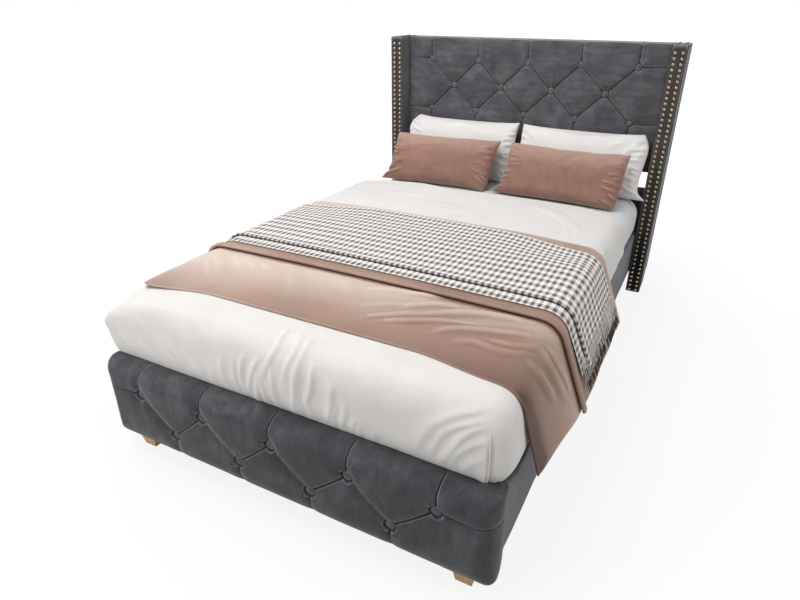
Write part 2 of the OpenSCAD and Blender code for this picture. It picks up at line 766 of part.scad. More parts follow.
module wing_glides() {
    x = core_in + core_t / 2;
    color("black") for (s = [-1, 1], y = [wing_front + glide_inset, back_y - chamfer_y - glide_inset])
        translate([s * x, y, 0]) cylinder(h = glide_h, r = glide_r);
}

// Angle brackets behind the lower board, against the wings
module wing_brackets() {
    y = bay_head + lower_cover_t + lower_board_t;
    color("silver") for (side = [-1, 1]) scale_x(side) difference() {
        union() {
            block([panel_x - bracket_leg, y, wing_bracket_z],
                [panel_x, y + bracket_t, wing_bracket_z + wing_bracket_h]);
            block([panel_x - bracket_t, y, wing_bracket_z],
                [panel_x, y + bracket_leg, wing_bracket_z + wing_bracket_h]);
        }
        for (z = wing_bolt_z) {
            translate([panel_x - bracket_t, wing_bracket_y, z]) bolt_bore(bracket_t + 1, bolt_hole_gap);
            translate([panel_x - bolt_off, y + bracket_t, z]) rotate([0, 0, -90])
                bolt_bore(bracket_t + 1, bolt_hole_gap);
        }
    }
}

module wing_bolts() {
    y = bay_head + lower_cover_t + lower_board_t;
    color("gray") for (side = [-1, 1]) scale_x(side) {
        for (z = panel_bolt_z)
            translate([panel_x - panel_frame_w, panel_bolt_y, z])
                bolt(panel_frame_w + seat_gap + wing_pad_t + bolt_in);
        for (z = wing_bolt_z) {
            translate([panel_x - bracket_t, wing_bracket_y, z])
                bolt(bracket_t + seat_gap + wing_pad_t + bolt_in);
            translate([panel_x - bolt_off, y + bracket_t, z]) rotate([0, 0, -90]) bolt(bracket_t + bolt_in - 5);
        }
    }
}

// Footboard

foot_rows = [foot_top - foot_row_top, foot_top - foot_row_top - foot_row_pitch];
foot_buttons = concat(
    [for (k = [-2 : 2]) [k * foot_button_pitch, foot_rows[0]]],
    [for (k = [-1.5 : 1 : 1.5]) [k * foot_button_pitch, foot_rows[1]]]
);
foot_outer_x = 2 * foot_button_pitch;
foot_seams = concat(
    diagonal_seams(foot_buttons, foot_button_pitch, foot_row_pitch),
    [for (k = [-2 : 2]) [[k * foot_button_pitch, foot_rows[0]], [k * foot_button_pitch, foot_top]]],
    [for (k = [-1.5 : 1 : 1.5]) [[k * foot_button_pitch, foot_rows[1]], [k * foot_button_pitch, foot_z]]],
    [for (s = [-1, 1]) [[s * foot_outer_x, foot_rows[0]], [s * foot_x, foot_rows[0]]]]
);
foot_xs = tuft_lines(-foot_x + foot_round, foot_x - foot_round, -foot_outer_x, foot_outer_x, 24, 3);
foot_zs = tuft_lines(foot_z + foot_round, foot_top - foot_round, foot_rows[1], foot_rows[0], 3, 2);

module footboard_pad() {
    color("dimgray") difference() {
        tufted_slab(foot_xs, foot_zs, front_y, bay_foot, foot_round, foot_seams, foot_buttons,
            foot_sink * 0.5, foot_sink, 65);
        block([-foot_frame_x, foot_board_y, foot_frame_z], [foot_frame_x, bay_foot + 1, foot_frame_top]);
        for (b = foot_buttons) translate([b[0], front_y + foot_sink, b[1]]) button_pocket(foot_sink);
        for (s = [-1, 1])
            translate([s * leg_x, leg_y, foot_z - 1]) cylinder(h = foot_edge_t, r = bolt_r + bolt_hole_gap);
    }
}

module footboard_buttons() {
    color("dimgray") for (b = foot_buttons) translate([b[0], front_y + foot_sink, b[1]]) button();
}

module footboard_front_board() {
    color("burlywood")
        block([-foot_frame_x, foot_board_y, foot_frame_z], [foot_frame_x, rib_y, foot_frame_top]);
}

module footboard_back_board() {
    y = bay_foot - foot_ply_t;
    color("burlywood") difference() {
        block([-foot_frame_x, y, foot_frame_z], [foot_frame_x, bay_foot, foot_frame_top]);
        for (p = end_bolt_places)
            translate([p[0] * (bay_x - bolt_off), bay_foot, p[1]]) rotate([0, 0, -90])
                bolt_bore(foot_ply_t + 1, bolt_hole_gap);
        for (side = [-1, 1])
            translate([side * hanger_screw_x, bay_foot, beam_z + beam_h / 2])
                rotate([0, 0, -90]) screw_bore(foot_ply_t + 1, thread_gap);
    }
}

// Ribs between the footboard's two boards, the outer ones bored for the leg bolts
module footboard_ribs() {
    color("burlywood") difference() {
        for (x = rib_x)
            block([x - rib_w / 2, rib_y, foot_frame_z], [x + rib_w / 2, rib_y + rib_d, foot_frame_top]);
        for (s = [-1, 1])
            translate([s * leg_x, leg_y, foot_frame_z - 1]) cylinder(h = leg_bolt_up, r = bolt_r + thread_gap);
        for (p = end_bolt_places)
            translate([p[0] * (bay_x - bolt_off), rib_y + rib_d, p[1]]) rotate([0, 0, -90])
                bolt_bore(bolt_in, thread_gap);
    }
}

// Tapered oak leg
module foot_leg(side) {
    color("peru") translate([side * leg_x, leg_y, 0]) difference() {
        mirror([0, 0, 1]) translate([0, 0, -leg_h])
            linear_extrude(leg_h, scale = leg_bottom_w / leg_top_w) square(leg_top_w, center = true);
        translate([0, 0, leg_h - leg_bolt_down]) cylinder(h = leg_bolt_down + 1, r = bolt_r + thread_gap);
    }
}

// Double-ended screws that join the legs to the footboard
module leg_bolts() {
    color("silver") for (s = [-1, 1])
        translate([s * leg_x, leg_y, leg_h - leg_bolt_down])
            cylinder(h = leg_bolt_down + foot_frame_z - foot_z + leg_bolt_up - 5, r = bolt_r);
}

// Side rails

module side_rail(side) {
    color("burlywood") difference() {
        scale_x(side) block([bay_x, bay_foot + seat_gap, rail_z + rail_edge_t],
            [bay_x + rail_board_t, bay_head - seat_gap, rail_top - rail_edge_t]);
        scale_x(side) for (p = rail_bolt_places(1))
            translate([bay_x, p[1], p[2]]) bolt_bore(bolt_in, thread_gap);
        scale_x(side) for (y = cleat_screw_y)
            translate([bay_x, y, cleat_z + cleat_w / 2]) screw_bore(screw_l, thread_gap);
    }
}

module rail_cover(side) {
    color("gray") scale_x(side) difference() {
        block([bay_x, bay_foot + seat_gap, rail_z], [rail_x, bay_head - seat_gap, rail_top]);
        block([bay_x - 1, bay_foot, rail_z + rail_edge_t],
            [bay_x + rail_board_t, bay_head, rail_top - rail_edge_t]);
    }
}

// Angle bracket in the corner at the right of the foot end, mirrored for the others
module corner_bracket() {
    difference() {
        union() {
            block([bay_x - bracket_leg, bay_foot, bracket_z],
                [bay_x, bay_foot + bracket_t, bracket_z + bracket_h]);
            block([bay_x - bracket_t, bay_foot, bracket_z],
                [bay_x, bay_foot + bracket_leg, bracket_z + bracket_h]);
        }
        for (z = bracket_bolt_z) {
            translate([bay_x - bracket_t, bay_foot + bolt_off, z]) bolt_bore(bracket_t + 1, bolt_hole_gap);
            translate([bay_x - bolt_off, bay_foot + bracket_t, z]) rotate([0, 0, -90])
                bolt_bore(bracket_t + 1, bolt_hole_gap);
        }
    }
}

// Copies of a foot-end piece for the head end, mirrored about the middle of the bay
module both_ends() {
    children();
    translate([0, 2 * bay_mid, 0]) mirror([0, 1, 0]) children();
}

module corner_brackets() {
    color("silver") for (side = [-1, 1]) scale_x(side) both_ends() corner_bracket();
}

module corner_bolts() {
    color("gray") for (side = [-1, 1]) scale_x(side) both_ends()
        for (z = bracket_bolt_z) {
            translate([bay_x - bracket_t, bay_foot + bolt_off, z]) bolt(bracket_t + bolt_in - 1);
            translate([bay_x - bolt_off, bay_foot + bracket_t, z]) rotate([0, 0, -90])
                bolt(bracket_t + bolt_in - 5);
        }
}

// Slats and what carries them

module slat_cleat(side) {
    color("wheat") scale_x(side) difference() {
        block([bay_x - cleat_w, bay_mid - cleat_l / 2, cleat_z], [bay_x, bay_mid + cleat_l / 2, slat_z]);
        for (y = cleat_screw_y)
            translate([bay_x - cleat_w, y, cleat_z + cleat_w / 2]) screw_bore(cleat_w + 1, bolt_hole_gap);
    }
}

module cleat_screws() {
    color("silver") for (side = [-1, 1]) scale_x(side) for (y = cleat_screw_y)
        translate([bay_x - cleat_w, y, cleat_z + cleat_w / 2]) screw(cleat_w + screw_l - 4);
}

module slats() {
    color("wheat") for (k = [0 : slat_n - 1]) {
        y = bay_foot + slat_inset + k * slat_pitch;
        block([-slat_x, y - slat_w / 2, slat_z], [slat_x, y + slat_w / 2, slat_top]);
    }
}

module slat_webbing() {
    color("whitesmoke") for (s = [-1, 1])
        block([s * webbing_x - webbing_w / 2, bay_foot + slat_inset - slat_w / 2, slat_top],
            [s * webbing_x + webbing_w / 2, bay_head - slat_inset + slat_w / 2, slat_top + webbing_t]);
}

beam_end_gap = hanger_t + 1;
hanger_screw_x = beam_w / 2 + seat_gap + hanger_t + hanger_flange / 2;

module centre_beam() {
    y0 = bay_foot + beam_end_gap;
    y1 = bay_head - beam_end_gap;
    color("dimgray") difference() {
        block([-beam_w / 2, y0, beam_z], [beam_w / 2, y1, slat_z]);
        block([-beam_w / 2 + beam_wall, y0 - 1, beam_z + beam_wall],
            [beam_w / 2 - beam_wall, y1 + 1, slat_z - beam_wall]);
        for (y = post_y, s = [-1, 1])
            translate([0, y + s * post_plate_l * 0.38, beam_z - 1])
                cylinder(h = beam_wall + 2, r = screw_r + thread_gap);
    }
}

// Hanger that carries the foot end of the beam, with a flange on each side
module beam_hanger() {
    x = beam_w / 2 + seat_gap;
    difference() {
        union() {
            block([-x - hanger_t - hanger_flange, bay_foot, beam_z - hanger_t],
                [x + hanger_t + hanger_flange, bay_foot + hanger_t, slat_z]);
            difference() {
                block([-x - hanger_t, bay_foot, beam_z - hanger_t],
                    [x + hanger_t, bay_foot + hanger_d, slat_z]);
                block([-x, bay_foot - 1, beam_z], [x, bay_foot + hanger_d + 1, slat_z + 1]);
            }
        }
        for (side = [-1, 1])
            translate([side * hanger_screw_x, bay_foot + hanger_t, beam_z + beam_h / 2])
                rotate([0, 0, -90]) screw_bore(hanger_t + 1, bolt_hole_gap);
    }
}

module beam_hangers() {
    color("silver") both_ends() beam_hanger();
}

// Screws of the hangers and of the plates on the centre legs
module beam_screws() {
    color("gray") {
        both_ends() for (side = [-1, 1])
            translate([side * hanger_screw_x, bay_foot + hanger_t, beam_z + beam_h / 2])
                rotate([0, 0, -90]) screw(hanger_t + foot_ply_t + 2);
        for (y = post_y, s = [-1, 1])
            translate([0, y + s * post_plate_l * 0.38, beam_z - post_plate_t])
                rotate([0, -90, 0]) screw(post_plate_t + beam_wall + 6);
    }
}

// Tube with a plate at its top and a threaded plug at its bottom
module centre_leg(y) {
    color("dimgray") translate([0, y, 0]) difference() {
        union() {
            translate([0, 0, post_z]) cylinder(h = beam_z - post_z - post_plate_t, r = post_r);
            block([-beam_w / 2, -post_plate_l / 2, beam_z - post_plate_t],
                [beam_w / 2, post_plate_l / 2, beam_z]);
        }
        translate([0, 0, post_z + post_plug_h])
            cylinder(h = beam_z - post_z - post_plate_t - post_plug_h, r = post_r - post_wall);
        translate([0, 0, post_z - 1]) cylinder(h = post_plug_h + 2, r = bolt_r + thread_gap);
        for (s = [-1, 1])
            translate([0, s * post_plate_l * 0.38, beam_z - post_plate_t - 1])
                cylinder(h = post_plate_t + 2, r = screw_r + bolt_hole_gap);
    }
}

module levelling_foot(y) {
    color("black") translate([0, y, 0]) {
        cylinder(h = foot_disc_h, r = foot_pad_r);
        cylinder(h = foot_disc_h + post_z - foot_disc_h + stem_h, r = bolt_r);
    }
}

// Mattress and bedding

module mattress() {
    head = bay_head - mattress_gap;
    foot = bay_foot + mattress_gap;
    hx = mattress_w / 2;
    base = level_ring(hx - 12, foot + 12, head - 12, mattress_corner_r - 12, mattress_z);
    color("whitesmoke")
        ring_solid(concat([base], side_rings(0)), [0, bay_mid, mattress_z], [0, bay_mid, mattress_top]);
}

module fitted_sheet() {
    color("lightsteelblue") cap_solid(
        side_rings(sheet_out), [0, bay_mid, mattress_top + sheet_out],
        side_rings(soft_gap), [0, bay_mid, mattress_top + soft_gap]
    );
}

// Lifts the lower part of the duvet at the foot end, so that it clears the top of the footboard
duvet_hem_z = rail_top + 16;
foot_clear = 40;
function over_foot(ring) =
    [for (p = ring)
        let (
            near = ease((bay_foot + foot_clear - p[1]) / foot_clear),
            low = max(0, (swell_cz - p[2]) / (swell_cz - duvet_hem_z))
        ) [p[0], p[1], p[2] + near * low * max(0, foot_top + 3 - duvet_hem_z)]];

module duvet() {
    head = duvet_head_y + 2 * duvet_rx;
    o = sheet_out + 1.5 * soft_gap;
    outer = [for (a = shell_angles)
        over_foot(swell_ring(a, duvet_rx, duvet_up, duvet_down - soft_gap, shoulder_power, head))];
    foot = bay_foot + mattress_gap - 4 - o;
    low = over_foot(level_ring(tuck_x + 6 + o, foot, head, mattress_corner_r + 10, duvet_hem_z));
    inner = concat(
        [low], [for (a = side_angles) swell_ring(a, swell_r + o, swell_up + o, swell_down, 1, head)]
    );
    color("white") intersection() {
        cap_solid(
            outer, [0, bay_mid, mattress_top + sheet_out + duvet_t + duvet_crown],
            inner, [0, bay_mid, mattress_top + o]
        );
        block([-wing_x, front_y, rail_z], [wing_x, duvet_head_y, wing_h]);
    }
}

// Section of a draped layer: over the top, round the shoulder, and down a straight flare.
// t runs from 0 at the middle to 3 at the hem; off is the height above the duvet.
function drape_point(t, off, flare, drop, wave) =
    let (
        rx = duvet_rx + off,
        up = duvet_up + off,
        top = swell_cz + up + duvet_crown,
        last = 30,
        a = lookup(t, [[1, 90], [1.25, 78], [1.5, 64], [1.75, 48], [2, last]]),
        ex = swell_cx + rx * pow(cos(last), shoulder_power),
        ez = swell_cz + up * pow(sin(last), shoulder_power),
        lean = flare + wave
    )
        t <= 1 ? [swell_cx * t, top - duvet_crown * t * t]
        : t <= 2
            ? [swell_cx + rx * pow(max(0, cos(a)), shoulder_power), swell_cz + up * pow(sin(a), shoulder_power)]
        : [ex + drop * (t - 2) * sin(lean), ez - drop * (t - 2) * cos(lean)];

drape_half = [0, 0.5, 1, 1.25, 1.5, 1.75, 2, 2.34, 2.67, 3];
drape_ts = concat([for (k = [len(drape_half) - 1 : -1 : 1]) -drape_half[k]], drape_half);

// Turn of the hanging folds about the shoulder, in degrees, straight between stations of the blanket
function fold_turn(k) = asin(fold_depth / blanket_drop) * sin(360 * k * fold_step / fold_pitch + 50);

function fold_wave(y) =
    let (u = (y - blanket_y) / fold_step, k = floor(u))
        fold_turn(k) + (u - k) * (fold_turn(k + 1) - fold_turn(k));

// Grid of points of a draped layer at stations along the bed, off(y) above the duvet
function drape_grid(ys, offs, flares, drops) =
    [for (j = [0 : len(ys) - 1]) [for (t = drape_ts)
        let (
            side = t < 0 ? -1 : 1,
            p = drape_point(abs(t), offs[j], flares[j], drops[j], fold_wave(ys[j]))
        ) [side * p[0], ys[j], p[1]]]];

// Stations along a folded layer: its ends, the edge of its upper layer, and the blanket's own stations between
fold_cells = 16;
fold_step = blanket_l / fold_cells;
function fold_stations(y0, fold, y1) =
    let (
        own = [for (k = [1 : fold_cells - 1]) blanket_y + k * fold_step],
        clear = [for (y = own) if (y > y0 + 8 && y < y1 - 8 && abs(y - fold - blanket_t / 2) > 12) y]
    ) concat(
        [y0], [for (y = clear) if (y < fold) y],
        [fold, fold + blanket_t], [for (y = clear) if (y > fold) y], [y1]
    );

// 1 at the blanket's foot edge, and 0 where it hangs in full
blanket_rise_l = blanket_l - blanket_fold_l;
function at_foot_edge(y) = 1 - ease((y - blanket_y) / blanket_rise_l);

module blanket() {
    ys = fold_stations(blanket_y, blanket_fold_y, blanket_end);
    inner = [for (y = ys) blanket_off];
    outer = [for (y = ys) blanket_off + blanket_t * (1 + ease((y - blanket_fold_y) / blanket_t))];
    flares = [for (y = ys) blanket_flare - blanket_close * at_foot_edge(y)];
    drops = [for (y = ys) blanket_drop - blanket_rise * at_foot_edge(y)];
    color("rosybrown") sheet_solid(
        drape_grid(ys, outer, flares, drops), drape_grid(ys, inner, flares, drops)
    );
}

module throw() {
    ys = fold_stations(throw_y, throw_fold_y, throw_end);
    inner = [for (y = ys) throw_off];
    outer = [for (y = ys) throw_off + throw_t * (1 + ease((y - throw_fold_y) / blanket_t))];
    flares = [for (y = ys) throw_flare];
    drops = [for (y = ys) throw_drop];
    color("lightgray") sheet_solid(
        drape_grid(ys, outer, flares, drops), drape_grid(ys, inner, flares, drops)
    );
}

// Pillows lean on the headboard and cushions on the pillows; each is seated by its own points
stuffed_nu = 12;
stuffed_nv = 8;
seat_z = mattress_top + sheet_out + soft_gap;
pillow_raw = stuffed_points(pillow_w, pillow_h, pillow_t, pillow_lean, 0, stuffed_nu, stuffed_nv);
pillow_shift = [
    0, crest_y - soft_gap - reach_most(pillow_raw, [0, 1, 0]), seat_z - reach_least(pillow_raw, [0, 0, 1])
];
lean_mid = (pillow_lean + cushion_lean) / 2;
lean_dir = [0, cos(lean_mid), -sin(lean_mid)];
pillow_off_x = 12;
cushion_off_x = -15;

module pillow(side) {
    color("white") translate(pillow_shift + [side * pillow_apart / 2 + pillow_off_x, 0, 0])
        stuffed_solid(pillow_raw, stuffed_nu, stuffed_nv);
}

// The cushion's back stays soft_gap clear of the pillow's front, measured square to the lean
module cushion(side, turn) {
    raw = stuffed_points(cushion_w, cushion_h, cushion_t, cushion_lean, turn, stuffed_nu, stuffed_nv);
    z = seat_z - reach_least(raw, [0, 0, 1]);
    front = reach_least(pillow_raw, lean_dir) + pillow_shift * lean_dir;
    y = (front - soft_gap - reach_most(raw, lean_dir) - z * lean_dir[2]) / lean_dir[1];
    color("rosybrown") translate([side * cushion_apart / 2 + cushion_off_x, y, z])
        stuffed_solid(raw, stuffed_nu, stuffed_nv);
}

headboard_board();
headboard_pad();
headboard_buttons();
headboard_stile(-1);  // headboard_stile_left
headboard_stile(1);  // headboard_stile_right
headboard_rail(frame_top - panel_frame_w);  // headboard_rail_top
headboard_rail(frame_z + (stile_h - panel_frame_w) / 2);  // headboard_rail_middle
headboard_rail(frame_z);  // headboard_rail_bottom
headboard_back_cloth();
lower_board();
lower_board_cover();
wing_core(-1);  // wing_core_left
wing_core(1);  // wing_core_right
wing_cover(-1);  // wing_cover_left
wing_cover(1);  // wing_cover_right
wing_nails(-1);  // wing_nails_left
wing_nails(1);  // wing_nails_right
wing_glides();
wing_brackets();
wing_bolts();
footboard_front_board();
footboard_back_board();
footboard_ribs();
footboard_pad();
footboard_buttons();
foot_leg(-1);  // foot_leg_left
foot_leg(1);  // foot_leg_right
leg_bolts();
side_rail(-1);  // side_rail_left
side_rail(1);  // side_rail_right
rail_cover(-1);  // rail_cover_left
rail_cover(1);  // rail_cover_right
corner_brackets();
corner_bolts();
slat_cleat(-1);  // slat_cleat_left
slat_cleat(1);  // slat_cleat_right
cleat_screws();
slats();
slat_webbing();
centre_beam();
beam_hangers();
beam_screws();
centre_leg(post_y[0]);  // centre_leg_front
centre_leg(post_y[1]);  // centre_leg_middle
centre_leg(post_y[2]);  // centre_leg_rear
levelling_foot(post_y[0]);  // levelling_foot_front
levelling_foot(post_y[1]);  // levelling_foot_middle
levelling_foot(post_y[2]);  // levelling_foot_rear
mattress();
fitted_sheet();
duvet();
blanket();
throw();
pillow(-1);  // pillow_left
pillow(1);  // pillow_right
cushion(-1, 3);  // cushion_left
cushion(1, -2);  // cushion_right
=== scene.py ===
import json
import math

import bpy
import numpy as np
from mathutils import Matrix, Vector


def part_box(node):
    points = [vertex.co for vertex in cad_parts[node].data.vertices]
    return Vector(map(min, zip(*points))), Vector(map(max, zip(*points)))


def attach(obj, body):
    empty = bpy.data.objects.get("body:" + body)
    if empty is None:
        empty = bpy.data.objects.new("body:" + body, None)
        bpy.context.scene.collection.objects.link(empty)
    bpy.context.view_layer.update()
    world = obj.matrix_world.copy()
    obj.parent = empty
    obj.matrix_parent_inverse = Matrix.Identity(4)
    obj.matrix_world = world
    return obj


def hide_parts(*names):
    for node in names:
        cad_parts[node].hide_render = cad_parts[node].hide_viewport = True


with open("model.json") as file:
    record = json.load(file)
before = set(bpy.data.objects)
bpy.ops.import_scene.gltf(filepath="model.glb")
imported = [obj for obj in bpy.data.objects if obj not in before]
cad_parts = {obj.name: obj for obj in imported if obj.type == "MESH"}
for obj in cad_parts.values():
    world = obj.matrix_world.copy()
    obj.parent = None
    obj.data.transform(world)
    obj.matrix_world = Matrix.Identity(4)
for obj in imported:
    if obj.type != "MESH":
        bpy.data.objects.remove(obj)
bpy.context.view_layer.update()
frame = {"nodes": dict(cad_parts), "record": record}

# An upholstered bed with its bedding. Lengths are millimetres in the frame's axes and turn into metres
# when a mesh is made: +Z is up, the head is at +Y and the foot at -Y.
MM = 0.001
TINY = 1e-9  # keeps divisions clear of zero


def node_box(node):
    """Lowest and highest corner of a CAD node, in millimetres."""
    low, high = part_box(node)
    return np.array(low) / MM, np.array(high) / MM


# Meshes

def grid_quads(rows, columns, first=0, flip=False):
    """Quads of a grid of rows x columns points that starts at vertex first."""
    index = first + np.arange(rows * columns).reshape(rows, columns)
    quads = np.stack([index[:-1, :-1], index[1:, :-1], index[1:, 1:], index[:-1, 1:]], -1).reshape(-1, 4)
    return quads[:, ::-1] if flip else quads


def make_mesh(name, verts, faces, uv=None):
    """Object of vertices in millimetres, and faces as one array or a list of arrays of equal width."""
    groups = faces if isinstance(faces, list) else [faces]
    groups = [np.asarray(g, np.int32) for g in groups if len(g)]
    mesh = bpy.data.meshes.new(name)
    mesh.vertices.add(len(verts))
    mesh.vertices.foreach_set("co", (np.asarray(verts, float) * MM).astype(np.float32).ravel())
    loops = np.concatenate([g.ravel() for g in groups])
    starts, at = [], 0
    for g in groups:
        starts.append(at + np.arange(0, g.size, g.shape[1]))
        at += g.size
    starts = np.concatenate(starts)
    mesh.loops.add(len(loops))
    mesh.loops.foreach_set("vertex_index", loops.astype(np.int32))
    mesh.polygons.add(len(starts))
    mesh.polygons.foreach_set("loop_start", starts.astype(np.int32))
    mesh.update(calc_edges=True)
    mesh.validate()
    if uv is not None:
        layer = mesh.uv_layers.new(name="cloth")
        layer.data.foreach_set("uv", (np.asarray(uv, float)[loops] * MM).astype(np.float32).ravel())
    mesh.polygons.foreach_set("use_smooth", np.ones(len(mesh.polygons), bool))
    obj = bpy.data.objects.new(name, mesh)
    bpy.context.scene.collection.objects.link(obj)
    return obj


def join_parts(parts):
    """(verts, [faces...]) of several such parts put together, with all faces of one width in one array."""
    groups, at = {}, 0
    for verts, faces in parts:
        for g in faces:
            groups.setdefault(g.shape[1], []).append(g + at)
        at += len(verts)
    return np.concatenate([verts for verts, _ in parts]), [np.concatenate(g) for g in groups.values()]


def add_piece(name, verts, faces, body, slot, replaces=(), uv=None, material=None):
    """A finished piece: its mesh, the body it rides on, its slot and the nodes it stands for.

    Its material is its slot's, unless another one is named.
    """
    obj = make_mesh(name, verts, faces, uv)
    obj.data.materials.append(MATERIALS[material or slot])
    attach(obj, body)
    if replaces:
        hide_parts(*replaces)
    return obj


def box_skin(low, high, step, leave_out=()):
    """Points and quads over a box's surface, merged at its edges. leave_out names sides such as "y1"."""
    low, high = np.array(low, float), np.array(high, float)
    spans = [np.linspace(low[i], high[i], max(2, round((high[i] - low[i]) / step[i]) + 1)) for i in range(3)]
    points, quads, first = [], [], 0
    for axis in range(3):
        a, b = [i for i in range(3) if i != axis]
        for end in (0, 1):
            if "xyz"[axis] + str(end) in leave_out:
                continue
            ga, gb = np.meshgrid(spans[a], spans[b], indexing="ij")
            p = np.empty(ga.shape + (3,))
            p[..., a], p[..., b], p[..., axis] = ga, gb, (low, high)[end][axis]
            quads.append(grid_quads(*ga.shape, first, flip=(end == 1) == (axis == 1)))
            points.append(p.reshape(-1, 3))
            first += ga.size
    points, quads = np.concatenate(points), np.concatenate(quads)
    keys = np.round(points * 1000).astype(np.int64)
    _, index, inverse = np.unique(keys, axis=0, return_index=True, return_inverse=True)
    return points[index], inverse.ravel()[quads]


def unit(vectors, least=TINY):
    """Vectors brought to length 1. Those shorter than least stay short."""
    return vectors / np.maximum(np.linalg.norm(vectors, axis=1), least)[:, None]


def power_size(q, power):
    """Size of each row of q, as a superellipse of that power measures it."""
    return (np.abs(q) ** power).sum(1) ** (1 / power)


def round_off(points, low, high, radii, power=2.0, corner=None):
    """Points of a box's surface moved onto a rounded box, and their outward directions.

    corner is the power round the upright edges, if that is another one.
    """
    radii = np.array(radii, float)
    corner = corner or power
    core = np.clip(points, low + radii, high - radii)
    q = (points - core) / radii
    size = (power_size(q[:, :2], corner) ** power + np.abs(q[:, 2]) ** power) ** (1 / power)
    q = q / np.maximum(size, TINY)[:, None]
    flat = np.maximum(power_size(q[:, :2], corner), TINY)[:, None]
    normal = np.empty_like(q)
    normal[:, :2] = flat ** (power - corner) * np.abs(q[:, :2]) ** (corner - 1)
    normal[:, 2] = np.abs(q[:, 2]) ** (power - 1)
    return core + radii * q, unit(normal * (np.sign(q) / radii))


def round_front(points, low, high, radii, corner=7.0):
    """As round_off, but only towards the front, -Y: seen from there the outline keeps its small corners.

    radii is (sides, depth, top, bottom).
    """
    sides, deep, top, bottom = radii
    core = np.stack([np.clip(points[:, 0], low[0] + sides, high[0] - sides),
                     np.maximum(points[:, 1], low[1] + deep),
                     np.clip(points[:, 2], low[2] + bottom, high[2] - top)], 1)
    above = points[:, 2] > (low[2] + high[2]) / 2
    count = len(points)
    radii = np.stack([np.full(count, sides), np.full(count, deep), np.where(above, top, bottom)], 1)
    q = (points - core) / radii
    q[:, 1] = np.minimum(q[:, 1], 0)
    q = q / np.maximum(np.hypot(power_size(q[:, ::2], corner), q[:, 1]), TINY)[:, None]
    flat = np.maximum(power_size(q[:, ::2], corner), TINY)[:, None]
    normal = np.abs(q)
    normal[:, ::2] = (normal[:, ::2] / flat) ** (corner - 1) * flat
    return core + radii * q, unit(np.sign(q) * normal / radii)


def vertex_normals(verts, quads):
    """Unit normals of a mesh of quads, one for each vertex."""
    a, b, c, d = (verts[quads[:, k]] for k in range(4))
    face = np.cross(c - a, d - b)
    normals = np.zeros_like(verts)
    for k in range(4):
        np.add.at(normals, quads[:, k], face)
    return unit(normals)


def closed_shell(outer, inner, quads, bulge, rings=3):
    """Outer and inner surface of the same quads, joined round their border by a rounded rim.

    bulge has one vector for each vertex, by which the middle of the rim stands out.
    """
    n = len(outer)
    edges = np.concatenate([quads[:, [k, (k + 1) % 4]] for k in range(4)])
    keys = np.sort(edges, 1)
    _, index, counts = np.unique(keys, axis=0, return_index=True, return_counts=True)
    border = edges[index[counts == 1]]
    used = np.unique(border)
    place = np.full(n, -1)
    place[used] = np.arange(len(used))
    verts, chain = [outer, inner], [used]
    for k in range(1, rings + 1):
        t = k / (rings + 1)
        verts.append(outer[used] * (1 - t) + inner[used] * t + bulge[used] * math.sin(math.pi * t))
        chain.append(2 * n + (k - 1) * len(used) + np.arange(len(used)))
    chain.append(used + n)
    a, b = place[border[:, 0]], place[border[:, 1]]
    rim = [np.stack([chain[k][b], chain[k][a], chain[k + 1][a], chain[k + 1][b]], 1)
           for k in range(rings + 1)]
    return np.concatenate(verts), np.concatenate([quads, quads[:, ::-1] + n] + rim)


def ring_quads(index):
    """Quads between the rows of index, whose columns go round in rings."""
    after = np.roll(index, -1, 1)
    return np.stack([index[:-1], after[:-1], after[1:], index[1:]], -1).reshape(-1, 4)


def tube(path, radius, sides=8):
    """Tube round a path of points. radius is a number or one for each point."""
    path = np.asarray(path, float)
    ahead = unit(np.gradient(path, axis=0))
    guide = np.where(np.abs(ahead[:, 2:3]) > 0.9, [[0.0, 1.0, 0.0]], [[0.0, 0.0, 1.0]])
    side = unit(np.cross(ahead, guide))
    up = np.cross(side, ahead)
    turn = np.linspace(0, 2 * math.pi, sides, endpoint=False)
    ring = side[:, None] * np.cos(turn)[None, :, None] + up[:, None] * np.sin(turn)[None, :, None]
    verts = path[:, None] + ring * np.broadcast_to(radius, len(path))[:, None, None]
    index = np.arange(len(path) * sides).reshape(-1, sides)
    return verts.reshape(-1, 3), [ring_quads(index), index[:1, ::-1], index[-1:]]


def dome(profile, centre, sides=24):
    """Closed dome that faces -Y, turned about its centre. profile lists (radius, height), from rim to top."""
    turn = np.linspace(0, 2 * math.pi, sides, endpoint=False)
    rings = [np.stack([r * np.cos(turn), np.full(sides, -h), r * np.sin(turn)], 1) for r, h in profile[:-1]]
    verts = np.concatenate(rings + [[[0, -profile[-1][1], 0]]]) + centre
    index = np.arange(len(verts) - 1).reshape(-1, sides)
    cap = np.stack([index[-1], np.roll(index[-1], -1), np.full(sides, len(verts) - 1)], 1)
    return verts, [ring_quads(index), cap, index[:1, ::-1]]


# Fields over a surface

def ease(t):
    """Smooth step from 0 to 1."""
    t = np.clip(t, 0, 1)
    return t * t * (3 - 2 * t)


def noise(x, y, size, seed):
    """Smooth value noise from -1 to 1, with lumps about size across. size is a number or a pair."""
    sx, sy = size if isinstance(size, tuple) else (size, size)
    table = np.random.default_rng(seed).uniform(-1, 1, (64, 64))
    u, v = np.asarray(x) / sx, np.asarray(y) / sy
    i, j = np.floor(u).astype(int), np.floor(v).astype(int)
    fu, fv = u - i, v - j
    fu, fv = fu * fu * fu * (fu * (fu * 6 - 15) + 10), fv * fv * fv * (fv * (fv * 6 - 15) + 10)
    i, j = i % 64, j % 64
    i2, j2 = (i + 1) % 64, (j + 1) % 64
    low = table[i, j] * (1 - fu) + table[i2, j] * fu
    high = table[i, j2] * (1 - fu) + table[i2, j2] * fu
    return low * (1 - fv) + high * fv


